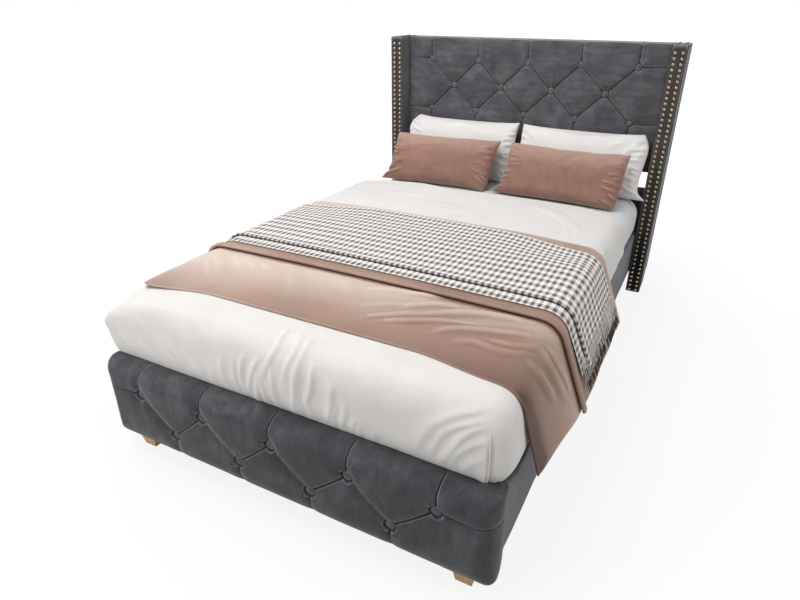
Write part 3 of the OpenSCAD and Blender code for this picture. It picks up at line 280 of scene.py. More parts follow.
def strokes(x, y, folds):
    """Height of drawn folds at points x, y. Each is (points, width, height, lean).

    lean, from -1 to 1, makes the left or right side of a fold steeper; the fold fades at both ends.
    """
    total = np.zeros(len(x))
    for points, width, height, lean in folds:
        pts = smooth_path(np.array(points, float), 9)
        margin = 3 * width
        low, high = pts.min(0) - margin, pts.max(0) + margin
        near = np.nonzero((x > low[0]) & (x < high[0]) & (y > low[1]) & (y < high[1]))[0]
        px, py = x[near], y[near]
        moves = np.diff(pts, axis=0)
        run = np.concatenate([[0], np.cumsum(np.hypot(*moves.T))])
        best, value = np.full(len(near), 1e9), np.zeros(len(near))
        for (ax, ay), (dx, dy), at in zip(pts[:-1], moves, run):
            span = math.hypot(dx, dy)
            t = np.clip(((px - ax) * dx + (py - ay) * dy) / (span * span), 0, 1)
            ox, oy = px - ax - t * dx, py - ay - t * dy
            r = np.hypot(ox, oy)
            side = np.sign(dx * oy - dy * ox) * r / width
            along = (at + t * span) / run[-1]
            wide = 1 + lean * np.tanh(side * 2) * 0.6
            fade = np.sin(math.pi * np.clip(along, 0.02, 0.98)) ** 0.7
            here = height * np.exp(-(side / wide) ** 2 * 1.6) * fade
            closer = r < best
            best, value = np.where(closer, r, best), np.where(closer, here, value)
        total[near] += value
    return total


def smooth_path(points, count):
    """count points of a smooth curve through the given points."""
    n = len(points)
    if n == 2:
        return points[0] + (points[1] - points[0]) * np.linspace(0, 1, count)[:, None]
    padded = np.concatenate([[2 * points[0] - points[1]], points, [2 * points[-1] - points[-2]]])
    out = []
    for s in np.linspace(0, n - 1, count):
        k = min(int(s), n - 2)
        t = s - k
        p0, p1, p2, p3 = padded[k:k + 4]
        out.append(0.5 * (2 * p1 + (p2 - p0) * t + (2 * p0 - 5 * p1 + 4 * p2 - p3) * t ** 2
                          + (3 * p1 - p0 - 3 * p2 + p3) * t ** 3))
    return np.array(out)


# Materials

def rgb(code):
    """Linear colour of a hex code."""
    parts = [int(code[i:i + 2], 16) / 255 for i in (1, 3, 5)]
    return tuple(((v + 0.055) / 1.055) ** 2.4 if v > 0.04045 else v / 12.92 for v in parts) + (1.0,)


class Nodes:
    """A node tree under construction. Its helpers return output sockets."""

    def __init__(self, tree):
        self.tree = tree
        tree.nodes.clear()

    def node(self, kind, inputs=None, **settings):
        """A new node. Its inputs are values, or sockets to link to."""
        made = self.tree.nodes.new(kind)
        for key, value in settings.items():
            setattr(made, key, value)
        for key, value in (inputs or {}).items():
            if isinstance(value, bpy.types.NodeSocket):
                self.tree.links.new(value, made.inputs[key])
            else:
                made.inputs[key].default_value = value
        return made

    def math(self, operation, a, b=0.0, c=0.0):
        return self.node("ShaderNodeMath", {0: a, 1: b, 2: c}, operation=operation).outputs[0]

    def span(self, value, start, end, low=0.0, high=1.0):
        """low where value is start, high where it is end, and clamped to these."""
        return self.node("ShaderNodeMapRange", {
            "Value": value, "From Min": start, "From Max": end, "To Min": low, "To Max": high}).outputs[0]


class Material(Nodes):
    """A material of one surface shader, laid out in the object's own coordinates, in metres."""

    def __init__(self, name, inputs):
        self.name = name
        self.mat = bpy.data.materials.new(name)
        self.mat.use_nodes = True
        super().__init__(self.mat.node_tree)
        self.shader = self.node("ShaderNodeBsdfPrincipled", inputs)
        self.out = self.node("ShaderNodeOutputMaterial", {"Surface": self.shader.outputs[0]})
        self.coords = self.node("ShaderNodeTexCoord").outputs["Object"]
        self.normal = None

    def axes(self, source=None):
        """The three parts of a vector, the object's coordinates unless another is given."""
        return self.node("ShaderNodeSeparateXYZ", {"Vector": source or self.coords}).outputs

    def stretch(self, scale, turn=(0, 0, 0)):
        inputs = {"Vector": self.coords, "Scale": scale, "Rotation": turn}
        return self.node("ShaderNodeMapping", inputs).outputs[0]

    def noise(self, scale, detail=2.0, rough=0.5, distortion=0.0, source=None):
        return self.node("ShaderNodeTexNoise", {
            "Vector": source or self.coords, "Scale": scale, "Detail": detail,
            "Roughness": rough, "Distortion": distortion}).outputs[0]

    def bent(self, start, end, low, high):
        """As span, of how far the surface is bent: 0.5 is flat, and more is a crest."""
        return self.span(self.node("ShaderNodeNewGeometry").outputs["Pointiness"], start, end, low, high)

    def ramp(self, factor, stops):
        """A colour looked up by factor. stops lists (place, hex code or grey level)."""
        made = self.node("ShaderNodeValToRGB", {"Fac": factor})
        elements = made.color_ramp.elements
        while len(elements) < len(stops):
            elements.new(0.5)
        for element, (at, colour) in zip(elements, stops):
            element.position = at
            element.color = rgb(colour) if isinstance(colour, str) else (colour, colour, colour, 1)
        return made.outputs[0]

    def mix(self, factor, a, b, blend="MIX"):
        a, b = (rgb(value) if isinstance(value, str) else value for value in (a, b))
        inputs = {0: factor, 6: a, 7: b}
        return self.node("ShaderNodeMix", inputs, data_type="RGBA", blend_type=blend).outputs[2]

    def bump(self, height, distance, strength=1.0):
        """Adds a height, in metres of distance, to the bumps so far."""
        inputs = {"Height": height, "Distance": distance, "Strength": strength}
        if self.normal:
            inputs["Normal"] = self.normal
        self.normal = self.node("ShaderNodeBump", inputs).outputs[0]
        self.tree.links.new(self.normal, self.shader.inputs["Normal"])

    def colour(self, socket):
        self.tree.links.new(socket, self.shader.inputs["Base Color"])

    def rough(self, factor, low, high):
        self.tree.links.new(self.span(factor, 0.0, 1.0, low, high), self.shader.inputs["Roughness"])


CREST_HIGHLIGHT = (0.512, 0.56, 0.0, 0.75)  # where the pile's crests are painted pale as a highlight of the sheen, and by how much
VALLEY_SHADE = (0.488, 0.44, 0.0, 0.5)  # where painted shade lies in its folds, and how much


def velvet(name, dark, middle, light, edge, pile, sheen=0.6, tint="#ffffff", brush=(34, 34, 13), shade=None):
    """Short-pile velvet: cloudy patches where the pile lies differently, a painted highlight on its crests,
    painted shade in its folds and a soft sheen.

    brush is how fine the brush streaks are along each axis. shade is (height, height, colour, share):
    the share of that colour falls from the first height to nothing at the second, as painted light or shade.
    """
    m = Material(name, {
        "Roughness": 0.85, "Specular IOR Level": 0.15, "Sheen Weight": sheen, "Sheen Roughness": 0.35,
        "Sheen Tint": rgb(tint)})
    clouds = m.noise(pile, 4.0, 0.55, 0.6)
    streaks = m.noise(1.0, 3.0, 0.6, 0.4, m.stretch(brush, (0.3, 0.2, 0.5)))
    fine = m.noise(700.0, 2.0, 0.6)
    both = m.math("ADD", m.math("MULTIPLY", clouds, 0.6), m.math("MULTIPLY", streaks, 0.4))
    base = m.ramp(both, [(0.34, dark), (0.5, middle), (0.66, light)])
    # painted light or shade: a colour mixed in that fades out with height
    if shade:
        start, end, colour, share = shade
        base = m.mix(m.span(m.axes()[2], start, end, share, 0.0), base, colour)
    # painted highlight: the crests are mixed towards the paler edge colour
    base = m.mix(m.bent(*CREST_HIGHLIGHT), base, edge)
    # painted shade: the folds are mixed towards near black
    base = m.mix(m.bent(*VALLEY_SHADE), base, "#141414")
    m.colour(m.mix(0.1, base, m.ramp(fine, [(0.3, 0.0), (0.7, 1.0)]), "OVERLAY"))
    m.rough(clouds, 0.78, 0.95)
    m.bump(streaks, 0.0010, 0.25)
    m.bump(fine, 0.00018, 0.45)
    return m


def cotton(name, base, shade, weave=0.0007, creases=0.0010):
    """Woven cotton: faint colour change, soft small creases and a fine weave."""
    m = Material(name, {
        "Roughness": 0.9, "Specular IOR Level": 0.2, "Sheen Weight": 0.12, "Sheen Roughness": 0.5})
    patches = m.noise(6.0, 4.0, 0.6, 0.5)
    small = m.noise(55.0, 4.0, 0.55, 1.2)
    threads = m.node("ShaderNodeTexChecker", {"Vector": m.coords, "Scale": 1 / weave}).outputs["Fac"]
    m.colour(m.mix(m.ramp(patches, [(0.3, 0.0), (0.75, 0.7)]), base, shade))
    m.rough(small, 0.85, 0.97)
    m.bump(small, creases, 0.7)
    m.bump(threads, 0.00006, 0.3)
    return m


def fleece(name, under, dark, middle, light):
    """Brushed, slightly glossy fleece of the blanket."""
    m = Material(name, {
        "Roughness": 0.55, "Specular IOR Level": 0.3, "Sheen Weight": 0.55, "Sheen Roughness": 0.3,
        "Sheen Tint": rgb("#f0d3bf")})
    clouds = m.noise(3.0, 3.0, 0.5, 0.4)
    x, y, _ = m.axes()
    # painted light and shade: paler towards the fold and towards -X, darker near the front hem, as light and
    # sheen fall
    near_fold, far_side = m.span(y, -0.93, -0.66), m.span(x, 0.6, -0.6)
    shading_and_tone = m.math("ADD", m.math("MULTIPLY", near_fold, 0.55), m.math("MULTIPLY", far_side, 0.45))
    # the upper layer starts at the fold and is darker
    upper = m.math("MULTIPLY", m.span(y, -0.625, -0.615), m.span(y, -0.3, -0.4))
    shading_and_tone = m.math("MULTIPLY", shading_and_tone, m.math("MULTIPLY_ADD", upper, -0.65, 1.0))
    shading_and_tone = m.math("ADD", shading_and_tone, m.math("MULTIPLY", m.math("SUBTRACT", clouds, 0.5), 0.5))
    shading_and_tone = m.math("MULTIPLY_ADD", shading_and_tone, 0.85, 0.15)
    # and painted shade makes it darkest, towards the under colour, where the front corner turns under
    corner = m.math("MULTIPLY", m.span(x, 0.61, 0.67), m.span(y, -0.84, -0.95))
    shading_and_tone = m.math("SUBTRACT", shading_and_tone, m.math("MULTIPLY", corner, 0.42))
    # painted highlight on its crests and painted shade in its hollows, by how bent it is
    shading_and_tone = m.math("ADD", shading_and_tone, m.bent(0.48, 0.52, -0.12, 0.12))
    m.colour(m.ramp(shading_and_tone, [(0.0, under), (0.12, dark), (0.5, middle), (0.9, light)]))
    m.rough(clouds, 0.5, 0.62)
    m.bump(m.noise(14.0, 3.0, 0.5, 0.6), 0.0012, 0.25)
    m.bump(m.noise(420.0, 3.0, 0.6), 0.00016, 0.4)
    return m


def gingham(name, check, dark, pale):
    """Two-tone check woven in stripes both ways, with a fine twill where one stripe crosses a plain one.

    check is the width of the stripes that run along the bed and across it, in metres.
    """
    m = Material(name, {"Roughness": 0.9, "Specular IOR Level": 0.15, "Sheen Weight": 0.1})
    u, v, _ = m.axes(m.node("ShaderNodeUVMap", uv_map="cloth").outputs[0])
    wobble = m.math("SUBTRACT", m.noise(30.0, 2.0, 0.5), 0.5)
    stripes = []
    for place, width in zip((u, v), check):
        wave = m.math("PINGPONG", m.math("MULTIPLY_ADD", wobble, 0.004, place), width)
        stripes.append(m.span(wave, width * 0.46, width * 0.54))
    both, either = m.math("MULTIPLY", *stripes), m.math("MAXIMUM", *stripes)
    twill = m.span(m.math("PINGPONG", m.math("ADD", u, v), 0.0011), 0.0004, 0.0007, 0.34, 0.52)
    level = m.math("MAXIMUM", both, m.math("MULTIPLY", either, twill))
    mottle = m.noise(260.0, 3.0, 0.7)
    level = m.math("MULTIPLY", level, m.math("MULTIPLY_ADD", mottle, 0.4, 0.8))
    m.colour(m.mix(level, pale, dark))
    m.bump(mottle, 0.0004, 0.6)
    m.bump(either, 0.0003, 0.4)
    return m


def wood(name, dark, light, along=(1, 1, 1), rough=(0.4, 0.6)):
    """Timber with grain: along has a small number on the axis that the grain follows."""
    m = Material(name, {"Specular IOR Level": 0.4})
    grain, pores = (
        m.noise(1.0, detail, rough_share, bend, m.stretch(tuple(size * a for a in along)))
        for size, detail, rough_share, bend in ((90, 6.0, 0.65, 1.4), (700, 2.0, 0.6, 0.2)))
    m.colour(m.mix(m.math("MULTIPLY", pores, 0.25), m.ramp(grain, [(0.3, dark), (0.7, light)]), dark))
    m.rough(grain, *rough)
    m.bump(pores, 0.0002, 0.4)
    return m


def metal(name, base, rough, worn, metallic=1.0):
    """Metal with a faintly uneven polish and darker worn patches."""
    m = Material(name, {"Metallic": metallic})
    patches = m.noise(160.0, 4.0, 0.6)
    m.colour(m.mix(m.ramp(patches, [(0.4, 0.0), (0.75, 1.0)]), base, worn))
    m.rough(patches, rough * 0.8, rough * 1.3)
    m.bump(m.noise(900.0, 2.0), 0.00008, 0.4)
    return m


def plain(name, base, shade, rough, grit=300.0, depth=0.0002):
    """Moulded plastic, non-woven cloth and other plain stuff with a fine texture."""
    m = Material(name, {"Specular IOR Level": 0.3})
    m.colour(m.mix(m.noise(grit / 8, 4.0, 0.6), base, shade))
    m.rough(m.noise(grit / 3, 2.0), rough * 0.9, min(1.0, rough * 1.15))
    m.bump(m.noise(grit, 3.0, 0.6), depth, 0.6)
    return m


MATERIALS = {made.name: made.mat for made in (
    velvet("upholstery_velvet", "#4d4f52", "#57595d", "#64676b", "#9a9da2", 7.0),
    velvet("headboard_velvet", "#464549", "#57565a", "#6a696d", "#99989c", 9.0, brush=(11, 40, 44)),
    velvet("button_velvet", "#48494c", "#55575a", "#66686b", "#7d8084", 60.0),
    # painted shade: a darker copy of the velvet for the footboard, which gets less light
    velvet("footboard_shaded_velvet", "#3c3e41", "#484a4d", "#5c5e61", "#a2a5aa", 8.0, 0.5),
    # painted shade: a darker copy of the velvet for the wings' front faces, darker still towards their foot
    velvet("wing_front_shaded_velvet", "#383635", "#41403f", "#4e4c4b", "#85827f", 7.0, 0.35,
           shade=(0.15, 0.8, "#000000", 0.75)),
    wood("plywood", "#a98456", "#d2b183", (1, 0.1, 1), (0.5, 0.7)),
    wood("timber", "#b98f5d", "#dcbd8f", (0.12, 1, 1), (0.5, 0.7)),
    wood("leg_oak", "#a87b41", "#d2a867", (1, 1, 0.1), (0.35, 0.5)),
    wood("slat_birch", "#cfae7c", "#ead3a8", (0.08, 1, 1), (0.4, 0.55)),
    metal("nail_brass", "#b8a68a", 0.3, "#7d6c54"),
    metal("zinc_steel", "#b9bcc0", 0.35, "#8e9196"),
    plain("beam_paint", "#3a3c3f", "#2e3033", 0.45),
    plain("black_plastic", "#1c1d1e", "#29292b", 0.5),
    plain("dust_cloth", "#26272a", "#34363a", 0.95, 900.0, 0.0004),
    plain("webbing", "#d9d7d0", "#bdbab1", 0.9, 1200.0, 0.0003),
    cotton("mattress_ticking", "#e4e3e0", "#d5d4d1", 0.0012),
    cotton("sheet_cotton", "#e0e3e5", "#d2d6d9"),
    cotton("duvet_cotton", "#e6e3e0", "#dcd8d5"),
    fleece("blanket_wool", "#4f3327", "#80645a", "#a58979", "#d6c5b9"),
    plain("fringe_white", "#e6e2de", "#b9b3ad", 0.95, 1500.0, 0.0003),
    plain("fringe_black", "#1d1c1d", "#5a5654", 0.95, 1500.0, 0.0003),
    gingham("throw_gingham", (0.0105, 0.0212), "#645b55", "#f2eeeb"),
    cotton("pillow_cotton", "#e9e6e4", "#dfdbd9"),
    # painted highlight: the cushions are made paler towards their top
    velvet("cushion_velvet", "#8b695c", "#947164", "#9f7b6d", "#c3a294", 9.0, 0.9, "#fff0e8",
           shade=(0.73, 0.66, "#e3c6b6", 0.36)))}

# CAD nodes that stay keep their shape and take the material of their slot
for subpart in frame["record"]["subparts"]:
    made = frame["nodes"][subpart["node"]]
    made.data.materials.clear()
    made.data.materials.append(MATERIALS[subpart["material_slot"]])

# Tufted headboard and footboard
HEAD_PITCH, FOOT_PITCH = 260, 251
BUTTON_R, BUTTON_SEAT = 14.5, 1.5
SINK = 21  # depth of a button's seat below the crest of the cover
SEAT_R, SEAT_EDGE, DIMPLE_R = 14, 7, 54
PLEAT_DEPTH = 0.45  # share of SINK that a pleat keeps far from its buttons
SHORT_LIP = -0.8  # lip of the pleats at -X, which die out on their way to the edge
LIP_OFF, LIP_W = 4.0, 2.4
GROOVE_DEPTH, GROOVE_W = 2.9, 1.9


def lay_buttons(rows, pitch):
    """Places (x, z) of buttons. rows lists (z, count); each row is centred."""
    return [[((k - (count - 1) / 2) * pitch, z) for k in range(count)] for z, count in rows]


def lay_pleats(rows, top, bottom, side_rows):
    """Pleats between neighbouring rows, and from the outer rows to the edges of the cover.

    Each is (start, end, start is a button, end is a button, lip height), and a lip below 0 lies on the
    other side. side_rows lists (row, end at -X, end at +X).
    """
    pleats = []
    for upper, lower in zip(rows, rows[1:]):
        reach = abs(upper[1][0] - upper[0][0]) * 0.51
        for a in upper:
            for b in lower:
                if abs(a[0] - b[0]) < reach:
                    pleats.append((a, b, 1, 1, 3.0 if b[0] > a[0] else 0.6))
    pleats += [(a, (a[0] + 2, top), 1, 0, -2.6) for a in rows[0]]
    pleats += [(a, (a[0] - 2, bottom), 1, 0, 2.0) for a in rows[-1]]
    for k, left, right in side_rows:
        pleats.append((rows[k][0], (left, rows[k][0][1] + 3), 1, 0, SHORT_LIP))
        pleats.append((rows[k][-1], (right, rows[k][-1][1] + 3), 1, 0, 2.4))
    return pleats


def tufting(x, z, rows, pleats, reach, fade, soft):
    """Depth of the cover below its crest at places x, z of the unfolded cover."""
    depth, lips, grooves, puff = (np.zeros_like(x) for _ in range(4))
    for (ax, az), (bx, bz), a_deep, b_deep, lip in pleats:
        dx, dz = bx - ax, bz - az
        span = math.hypot(dx, dz)
        t = np.clip(((x - ax) * dx + (z - az) * dz) / span ** 2, 0, 1)
        ox, oz = x - ax - t * dx, z - az - t * dz
        r = np.hypot(ox, oz)
        side = np.sign(dx * oz - dz * ox) * r
        end = np.where(t > 0.5, b_deep, a_deep)
        ends = a_deep * np.exp(-t * span / fade) + b_deep * np.exp(-(1 - t) * span / fade)
        fall = 1 if b_deep else 1 - (0.55 if lip != SHORT_LIP else 1.0) * t
        deep = (PLEAT_DEPTH * fall + (1 - PLEAT_DEPTH) * np.clip(ends, 0, 1)) * SINK
        wide = reach * (0.42 + 0.58 * deep / SINK)
        u = np.clip(r / wide, 0, 1)
        depth = np.maximum(depth, deep * (1 - np.sqrt(np.clip(1 - (1 - u) ** 2, 0, 1))) ** 1.15)
        flow = np.sin(math.pi * np.clip(t * 0.9 + 0.05, 0, 1)) ** 0.5
        crest = np.exp(-((side - math.copysign(LIP_OFF, lip)) / LIP_W) ** 2)
        lips = np.maximum(lips, abs(lip) * crest * flow * (end + (1 - end) * (1 - t)))
        groove = GROOVE_DEPTH * np.exp(-(r / GROOVE_W) ** 2) * (0.5 + 0.5 * flow)
        if lip == SHORT_LIP:
            groove = groove * ease((1 - t) * 1.6)
        grooves = np.maximum(grooves, groove)
        loose = soft * SINK * np.clip(1 - r / (reach * 1.9), 0, 1) ** 2
        puff = np.maximum(puff, loose * (1 if b_deep else 1 - t))
    depth = depth + grooves + puff
    for bx, bz in sum(rows, []):
        r, turn = np.hypot(x - bx, z - bz), np.arctan2(z - bz, x - bx)
        dimple = SINK * np.clip(1 - r / DIMPLE_R, 0, 1) ** 2.3
        pucker = 0.3 * np.cos(turn * 7 + bx) * np.exp(-((r - 25) / 13) ** 2)
        depth = np.maximum(depth, dimple) + pucker
        seat = np.clip(1 - (r - SEAT_R) / SEAT_EDGE, 0, 1)
        depth = depth * (1 - seat) + SINK * seat
    return depth - lips


def tufted_piece(name, node, material, step, radius, rows, pleats, reach, fade, soft,
                 back_inset=0.6, drawn=0.0):
    """A rounded pad with its tufting pressed in, made over the box of its node.

    drawn is how far its sides are drawn in at the back seam.
    """
    low, high = node_box(node)
    high = high - [0, back_inset, 0]
    points, quads = box_skin(low, high, step)
    verts, normal = round_front(points, low, high, radius)
    # Places on the unfolded cover: the front face, and round its edges onto the sides, top and underside
    back = points[:, 1] - low[1]
    middle = (low + high) / 2
    on_side = (points[:, 0] <= low[0]) | (points[:, 0] >= high[0])
    on_top = ~on_side & ((points[:, 2] <= low[2]) | (points[:, 2] >= high[2]))
    x = points[:, 0] + np.where(on_side, np.sign(points[:, 0]) * back, 0)
    z = points[:, 2] + np.where(on_top, np.sign(points[:, 2] - middle[2]) * back, 0)
    depth = tufting(x, z, rows, pleats, reach, fade, soft)
    depth += 0.6 * (1 + noise(x, z, 110, 3)) + 0.2 * (1 + noise(x, z, 34, 4))
    depth *= ease((high[1] - points[:, 1]) / 30)
    verts = verts - normal * depth[:, None]
    seam = np.clip((points[:, 1] - high[1] + 55) / 55, 0, 1) ** 2
    for axis, share in ((0, drawn), (2, 0.4 * drawn)):
        verts[:, axis] -= (verts[:, axis] - middle[axis]) * seam * share / (high[axis] - middle[axis])
    pad = add_piece(name, verts, quads, "frame", "upholstery_velvet", [node], material=material)


def buttons_piece(name, node, rows, crest_y):
    """Covered buttons: low domes with a rolled rim."""
    profile = [(share * BUTTON_R, height) for share, height in (
        (0.8, 0.0), (0.97, 1.0), (1, 2.6), (0.96, 4.2), (0.82, 5.8), (0.58, 6.9), (0.3, 7.4), (0, 7.5))]
    parts = [dome(profile, (x, crest_y + SINK - BUTTON_SEAT, z)) for x, z in sum(rows, [])]
    add_piece(name, *join_parts(parts), "frame", "button_velvet", [node])


pad_low, pad_high = node_box("headboard_pad")
rows = lay_buttons([(pad_high[2] - 103, 5), (pad_high[2] - 229, 4), (pad_high[2] - 355, 5)], HEAD_PITCH)
ends = (-pad_high[0] - 20, pad_high[0] + 20)
pleats = lay_pleats(rows, pad_high[2] + 60, pad_low[2] - 10, [(0, *ends), (2, *ends)])
tufted_piece("headboard_panel", "headboard_pad", "headboard_velvet", (2.2, 4, 2.2), (14, 16, 16, 16),
             rows, pleats, reach=56, fade=42, soft=0.34)
buttons_piece("headboard_button_set", "headboard_buttons", rows, pad_low[1])

pad_low, pad_high = node_box("footboard_pad")
rows = lay_buttons([(pad_high[2] - 88, 5), (pad_high[2] - 198, 4)], FOOT_PITCH)
pleats = lay_pleats(rows, pad_high[2] + 60, pad_low[2] - 10, [(0, -pad_high[0] + 60, pad_high[0] + 55)])
# the footboard's cover takes the darker copy of the velvet, as painted shade
tufted_piece("footboard_cover", "footboard_pad", "footboard_shaded_velvet", (2.1, 2.8, 2.1), (50, 60, 50, 84),
             rows, pleats, reach=52, fade=40, soft=0.12, back_inset=-0.4, drawn=8)
buttons_piece("footboard_button_set", "footboard_buttons", rows, pad_low[1])

# Plain padded frame parts
WING_CHAMFER_Z, WING_CHAMFER_Y = 70.0, 56.0
WING_BACK_Y = 1000.0  # seams behind it end at the chamfer
PIPING_R = 2.2


def padded_box(name, node, step, radius, seed, amount, shape=None):
    """A plain upholstered board: a rounded box with slightly uneven padding."""
    low, high = node_box(node)
    points, quads = box_skin(low, high, step)
    verts, normal = round_off(points, low, high, radius)
    x, y, z = points.T
    lumps = noise(x + y, z, 120, seed) + noise(y, z, 35, seed + 1) * 0.4
    verts = verts - normal * (amount * (1.4 + lumps))[:, None]
    if shape:
        verts = shape(verts, low, high)
    obj = add_piece(name, verts, quads, "frame", "upholstery_velvet", [node])
    return obj


def chamfer_foot(verts, low, high):
    """Cuts the back of a wing's foot off at a slant, as the CAD does."""
    cut = np.clip((low[2] + WING_CHAMFER_Z - verts[:, 2]) / WING_CHAMFER_Z, 0, 1) * WING_CHAMFER_Y
    out = verts.copy()
    out[:, 1] = low[1] + (verts[:, 1] - low[1]) * (1 - cut / (high[1] - low[1]))
    return out


def wing_piping(name, side):
    """Piping along the seams of a wing: up its front and back edges, and over its top."""
    low, high = node_box("wing_cover_" + name)
    x_out, x_in = (high[0] - 1.0, low[0] + 1.5) if side > 0 else (low[0] + 1.0, high[0] - 1.5)
    parts = []
    for x, y in ((x_out, low[1] + 1.6), (x_in, low[1] + 1.6), (x_out, high[1] - 3)):
        foot = low[2] + (WING_CHAMFER_Z if y > WING_BACK_Y else 6)
        parts.append(tube([(x, y, z) for z in np.linspace(foot, high[2] - 3, 60)], PIPING_R))
    for x in (x_in, x_out):
        line = [(x, y, high[2] - 1.4) for y in np.linspace(low[1] + 3, high[1] - 4, 16)]
        parts.append(tube(line, PIPING_R))
    add_piece("wing_piping_" + name, *join_parts(parts), "frame", "upholstery_velvet")


for name, side in (("left", -1), ("right", 1)):
    wing = padded_box(
        "wing_upholstery_" + name, "wing_cover_" + name, (5, 6, 9), (5, 5, 5), 20 + side, 0.25, chamfer_foot)
    # the front faces take the darker copy of the velvet, as painted shade
    wing.data.materials.append(MATERIALS["wing_front_shaded_velvet"])
    wing.data.polygons.foreach_set(
        "material_index", [int(polygon.normal.y < -0.7) for polygon in wing.data.polygons])
    wing_piping(name, side)
    padded_box("rail_upholstery_" + name, "rail_cover_" + name, (5, 10, 6), (9, 3, 10), 30 + side, 0.9)
padded_box("lower_panel_cover", "lower_board_cover", (14, 3, 10), (2, 2, 2), 40, 0.15)

# Mattress, and the sheet stretched over it
MATTRESS_INSET, SHEET_T = 1.5, 0.9
SWELL_Z = 406.0  # height at which the mattress and the bedding round it are widest
QUILT = 90.0
mattress_low, mattress_high = (
    corner + inset for corner, inset in zip(node_box("mattress"), (MATTRESS_INSET, -MATTRESS_INSET)))
sheet_low, sheet_high = node_box("fitted_sheet")
duvet_low, duvet_high = node_box("duvet")
blanket_low, blanket_high = node_box("blanket")
throw_low, throw_high = node_box("throw")


def tuck_in(verts, normal, to_z, depth):
    """Pulls the sides in below SWELL_Z, by depth at to_z."""
    t = np.clip((SWELL_Z - verts[:, 2]) / (SWELL_Z - to_z), 0, 1)
    return verts - unit(normal * [1, 1, 0], 0.3) * (depth * t ** 2)[:, None]


points, quads = box_skin(mattress_low, mattress_high, (24, 24, 14))
verts, _ = round_off(points, mattress_low, mattress_high, (86, 86, 84))
quilt = np.abs(np.sin(points[:, :2] / QUILT * math.pi)).prod(1)
verts[:, 2] += np.where(points[:, 2] <= mattress_low[2] + 0.5, 6 * (1 - quilt), 0)
mattress = add_piece("mattress_body", verts, quads, "mattress", "mattress_ticking", ["mattress"])

points, quads = box_skin(sheet_low, sheet_high, (8, 8, 8), leave_out=("z0",))
verts, normal = round_off(points, sheet_low, sheet_high, (90, 90, 86))
verts = tuck_in(verts, normal, sheet_low[2], 10)
x, y, z = points.T
wrinkle = noise(x + y, z, (26, 160), 51) * 1.2 * ease((SWELL_Z + 70 - z) / 100)
wrinkle = wrinkle + noise(x, y, 70, 52) * 0.5 - 1.4
outer = verts + normal * wrinkle[:, None]
inner = outer - normal * SHEET_T
verts, quads = closed_shell(outer, inner, quads, np.tile([0.0, 0.0, -0.8], (len(outer), 1)), 1)
sheet = add_piece("fitted_sheet_cover", verts, quads, "mattress", "sheet_cotton", ["fitted_sheet"])

